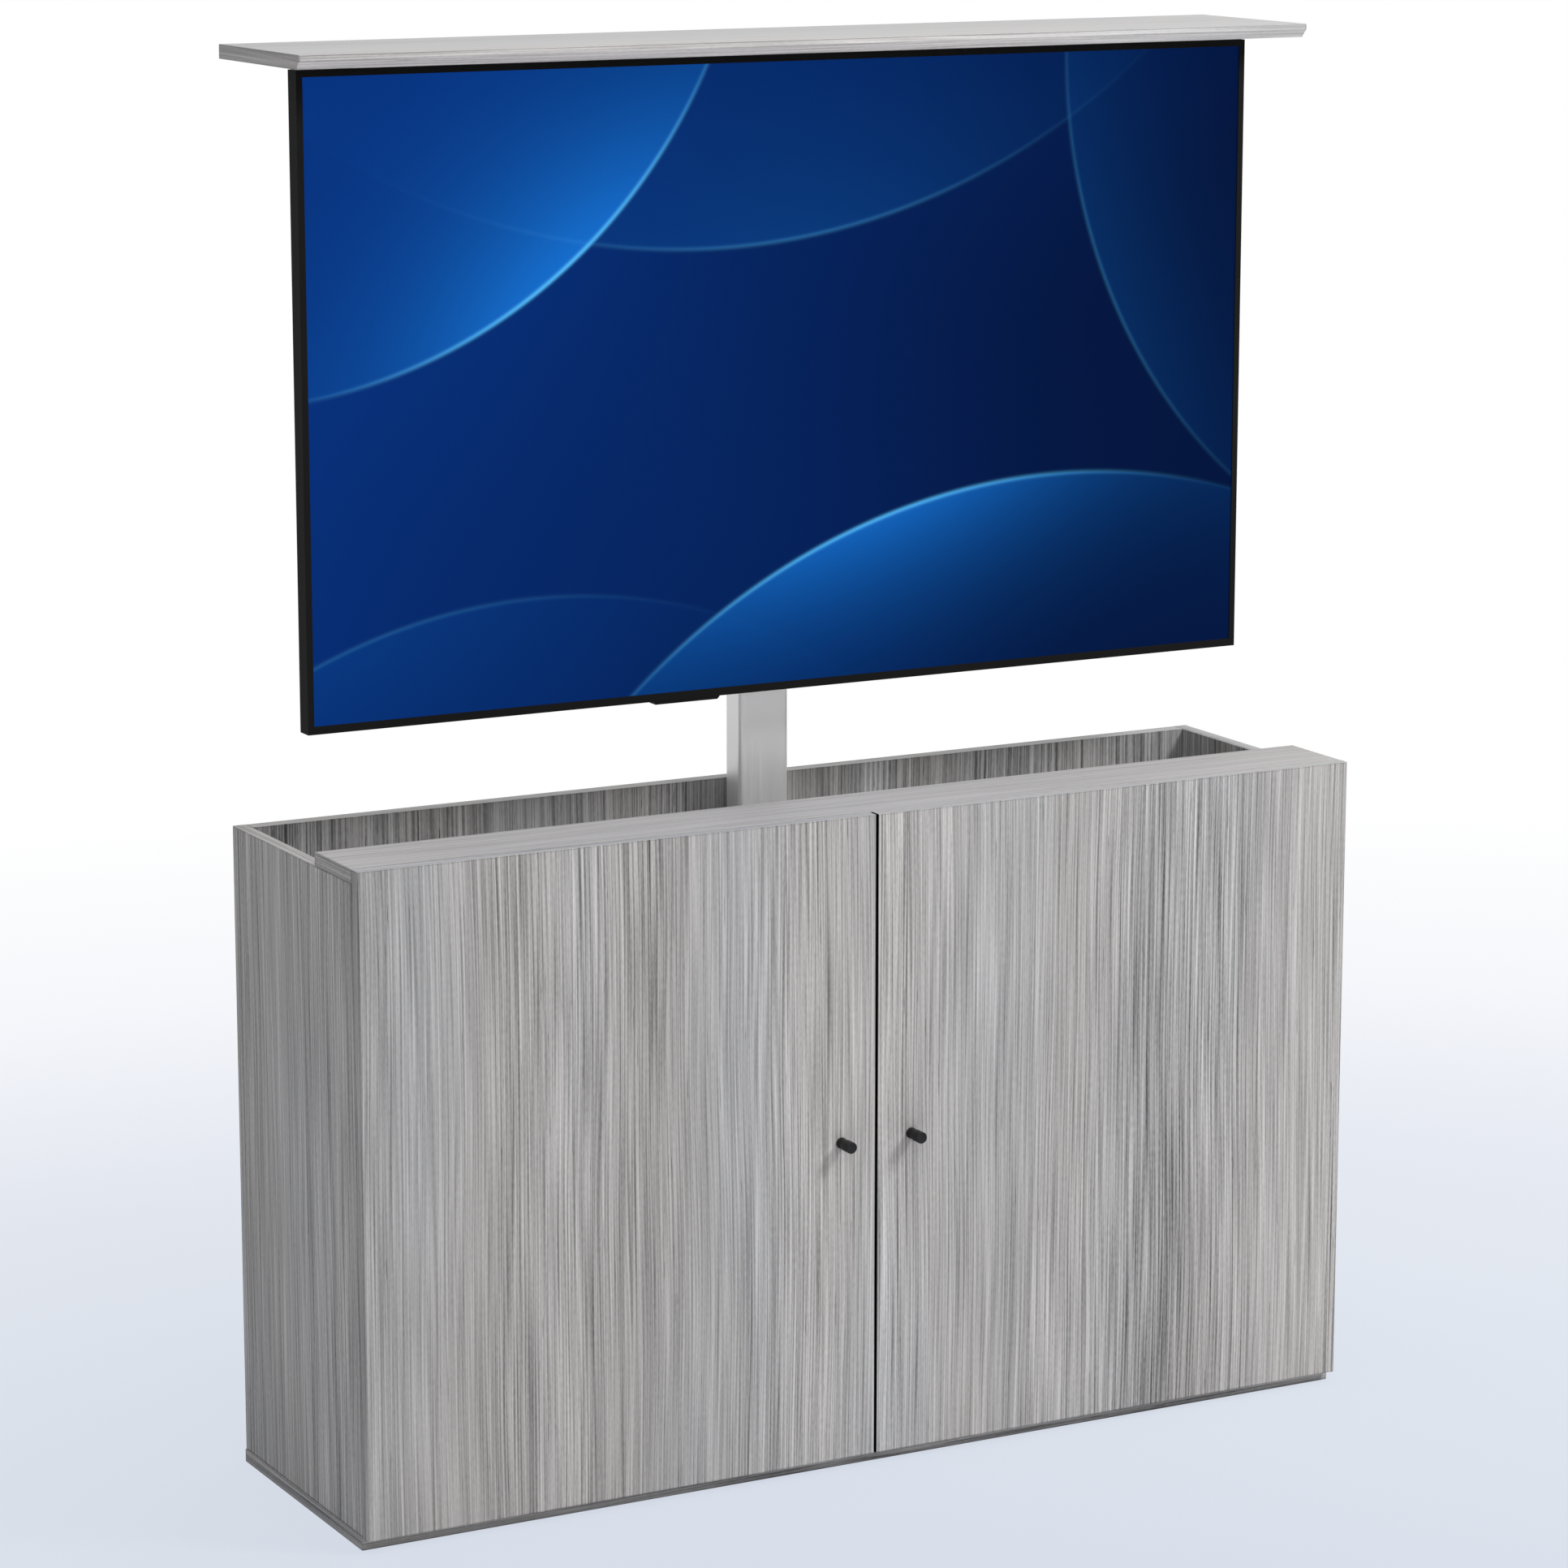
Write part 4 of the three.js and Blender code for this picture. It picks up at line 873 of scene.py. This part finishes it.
def makeFixings():
    for name, kind in fixings.items():
        head = screwHead(kind["radius"], kind["height"], kind["socket"])
        addPiece(name, placed(head, fixingSeats(kind)), "link_steel", kind["body"])
    print("fixings: screws and bolts of the mount, the column's feet and the drive")


def softBlock(size, softening, steps=4):
    # A block with rounded edges. A row is a rounded rectangle: its corners' centres plus what is left of
    # the softening times the cosine and sine of the angle. At the two ends the rows are drawn in by the
    # softening times 1 - sine of a quarter turn.
    halfX, halfY, height = size[0] / 2, size[1] / 2, size[2]
    turn = np.linspace(0, math.pi / 2, steps)
    foot = np.stack([softening * (1 - np.sin(turn)), softening * (1 - np.cos(turn))], 1)
    rows = np.vstack([foot, np.stack([foot[::-1, 0], height - foot[::-1, 1]], 1)])
    corners = np.array([(1, 1), (-1, 1), (-1, -1), (1, -1)])
    angle = (np.arange(4)[:, None] + np.linspace(0, 1, steps)) * math.pi / 2
    arcs = np.stack([np.cos(angle), np.sin(angle)], -1)
    centres = corners[:, None] * (halfX - softening, halfY - softening)
    inset = rows[:, 0, None, None, None]
    rings = centres + arcs * (softening - inset)
    count = 4 * steps
    level = rows[:, 1, None] * np.ones(count)
    points = np.concatenate([rings.reshape(len(rows), count, 2), level[..., None]], -1).reshape(-1, 3)
    i = np.arange(count)
    after = (i + 1) % count
    starts = np.arange(len(rows) - 1)[:, None] * count
    walls = np.stack([starts + i, starts + after, starts + count + after, starts + count + i], -1)
    crown = [list(range((len(rows) - 1) * count, len(rows) * count))]
    return points, walls.reshape(-1, 4).tolist() + [list(range(count - 1, -1, -1))] + crown


def turnedFrom(profile, radius, height, segments):
    # A turned shape whose profile is given in shares of its radius and its height
    radii, heights = np.array(profile).T
    return turned(radius * radii, height * heights, segments)


# Small fittings: bumper pads on the doors, caps of the joint fittings in the back panel, and the flat
# pins in the power inlet
fittings = {
    "padRadius": 0.004,
    "padHeight": 0.0009,
    "padProfile": [(0, -0.1), (1, -0.1), (1, 0.4), (0.94, 0.75), (0.8, 0.93), (0.5, 1), (0, 1)],
    "padSegments": 24,
    "padColumns": (0.02, 0.592),    # from the cabinet's middle
    "padLow": 0.06,                 # the far column's lower pad, above the floor
    "padHigh": 0.03,                # the far column's upper pad, below the rail's middle
    "capRadius": 0.0075,
    "capHeight": 0.0005,
    "capProfile": [(0, -0.2), (1, -0.2), (1, 0.6), (0.95, 1), (0.4, 1), (0.32, 0.3), (0, 0.3)],
    "capSegments": 32,
    "capColumn": 0.56,              # from the cabinet's middle
    "capRows": (0.09, 0.36, 0.63),  # above the floor
    "pinSize": (0.0035, 0.0014, 0.0095),
    "pinSoftening": 0.0005,
    "pinSpread": 0.0065,
    "pinRise": 0.0035,              # the middle pin above the outer two
    "socketDepth": 0.012,
}


def makeFittings():
    pad = turnedFrom(fittings["padProfile"], fittings["padRadius"], fittings["padHeight"],
                     fittings["padSegments"])
    railZ = middle("front_top_rail", 2)
    near, far = fittings["padColumns"]
    for side, sign in sides.items():
        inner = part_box(side + "_door")[1][1]
        seats = seatsAt((0, 1, 0), (sign * near,), (inner,), (railZ,))
        seats += seatsAt((0, 1, 0), (sign * far,), (inner,),
                         (fittings["padLow"], railZ - fittings["padHigh"]))
        addPiece(side + "_door_pads", placed(pad, seats), "black_plastic", side + "_leaf")
    cap = turnedFrom(fittings["capProfile"], fittings["capRadius"], fittings["capHeight"],
                     fittings["capSegments"])
    seats = seatsAt((0, -1, 0), around(0.0, fittings["capColumn"]), (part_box("back_panel")[0][1],),
                    fittings["capRows"])
    addPiece("joint_fitting_caps", placed(cap, seats), "tray_plastic", "cabinet")

    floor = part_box("power_inlet")[0][0] + fittings["socketDepth"]
    y = middle("power_inlet", 1)
    z = middle("power_inlet", 2) - fittings["pinRise"] / 2
    pin = softBlock(fittings["pinSize"], fittings["pinSoftening"])
    seats = seatsAt((-1, 0, 0), (floor,), around(y, fittings["pinSpread"]), (z,))
    seats += seatsAt((-1, 0, 0), (floor,), (y,), (z + fittings["pinRise"],))
    addPiece("inlet_pins", placed(pin, seats), "hinge_nickel", "cabinet")
    print("fittings: door pads, joint caps and inlet pins")


# The television's back: screws round the rim, and a strip of flat and round sockets low on the bulge
tvBack = {
    "screwRadius": 0.0032,
    "screwHeight": 0.0009,
    "fromEdge": 0.014,
    "acrossCount": 8,
    "upCount": 5,
    "coverThickness": 0.0043,       # where the rim's screws sit
    "stripSize": (0.034, 0.2, 0.0012),
    "stripSoftening": 0.0005,
    "stripX": -0.335,
    "stripZ": 0.985,
    "socketSize": (0.006, 0.0155, 0.0022),
    "socketSoftening": 0.0006,
    "socketCount": 4,
    "socketPitch": 0.026,
    "socketFirst": 0.6,             # pitches from the strip's middle down to the lowest flat socket
    "roundRadius": 0.0045,
    "roundHeight": 0.005,
    "roundProfile": [(0, 0), (1.25, 0), (1.25, 0.25), (1, 0.3), (1, 0.94), (0.9, 1), (0.6, 1),
                     (0.55, 0.3), (0, 0.3)],
    "roundSegments": 32,
    "roundRows": (0.05, 0.078),     # below the strip's middle
}


def makeTvBack():
    low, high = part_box("tv_rear_cover")
    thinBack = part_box("tv_frame")[1][1] + tvBack["coverThickness"]
    edge = tvBack["fromEdge"]
    across = np.linspace(low[0] + edge, high[0] - edge, tvBack["acrossCount"])
    upward = np.linspace(low[2] + edge, high[2] - edge, tvBack["upCount"])[1:-1]
    seats = seatsAt((0, 1, 0), across, (thinBack,), (low[2] + edge, high[2] - edge))
    seats += seatsAt((0, 1, 0), (low[0] + edge, high[0] - edge), (thinBack,), upward)
    addPiece("rear_cover_screws", placed(screwHead(tvBack["screwRadius"], tvBack["screwHeight"]), seats),
             "dark_steel", "inner_stage")

    x, z = tvBack["stripX"], tvBack["stripZ"]
    strip = softBlock(tvBack["stripSize"], tvBack["stripSoftening"])
    addPiece("socket_strip", placed(strip, [((x, high[1], z), (0, 1, 0))]), "tv_frame_black", "inner_stage")
    face = high[1] + tvBack["stripSize"][2]
    shell = softBlock(tvBack["socketSize"], tvBack["socketSoftening"])
    rows = z + (np.arange(tvBack["socketCount"]) - tvBack["socketFirst"]) * tvBack["socketPitch"]
    addPiece("flat_sockets", placed(shell, seatsAt((0, 1, 0), (x,), (face,), rows)),
             "link_steel", "inner_stage")
    barrel = turnedFrom(tvBack["roundProfile"], tvBack["roundRadius"], tvBack["roundHeight"],
                        tvBack["roundSegments"])
    rows = z - np.array(tvBack["roundRows"])
    addPiece("round_sockets", placed(barrel, seatsAt((0, 1, 0), (x,), (face,), rows)),
             "link_steel", "inner_stage")
    print("television's back: rim screws and sockets")


makeStudio()
dressNodes()
makeKnobs()
makeHingeScrews()
makeFixings()
makeFittings()
makeTvBack()
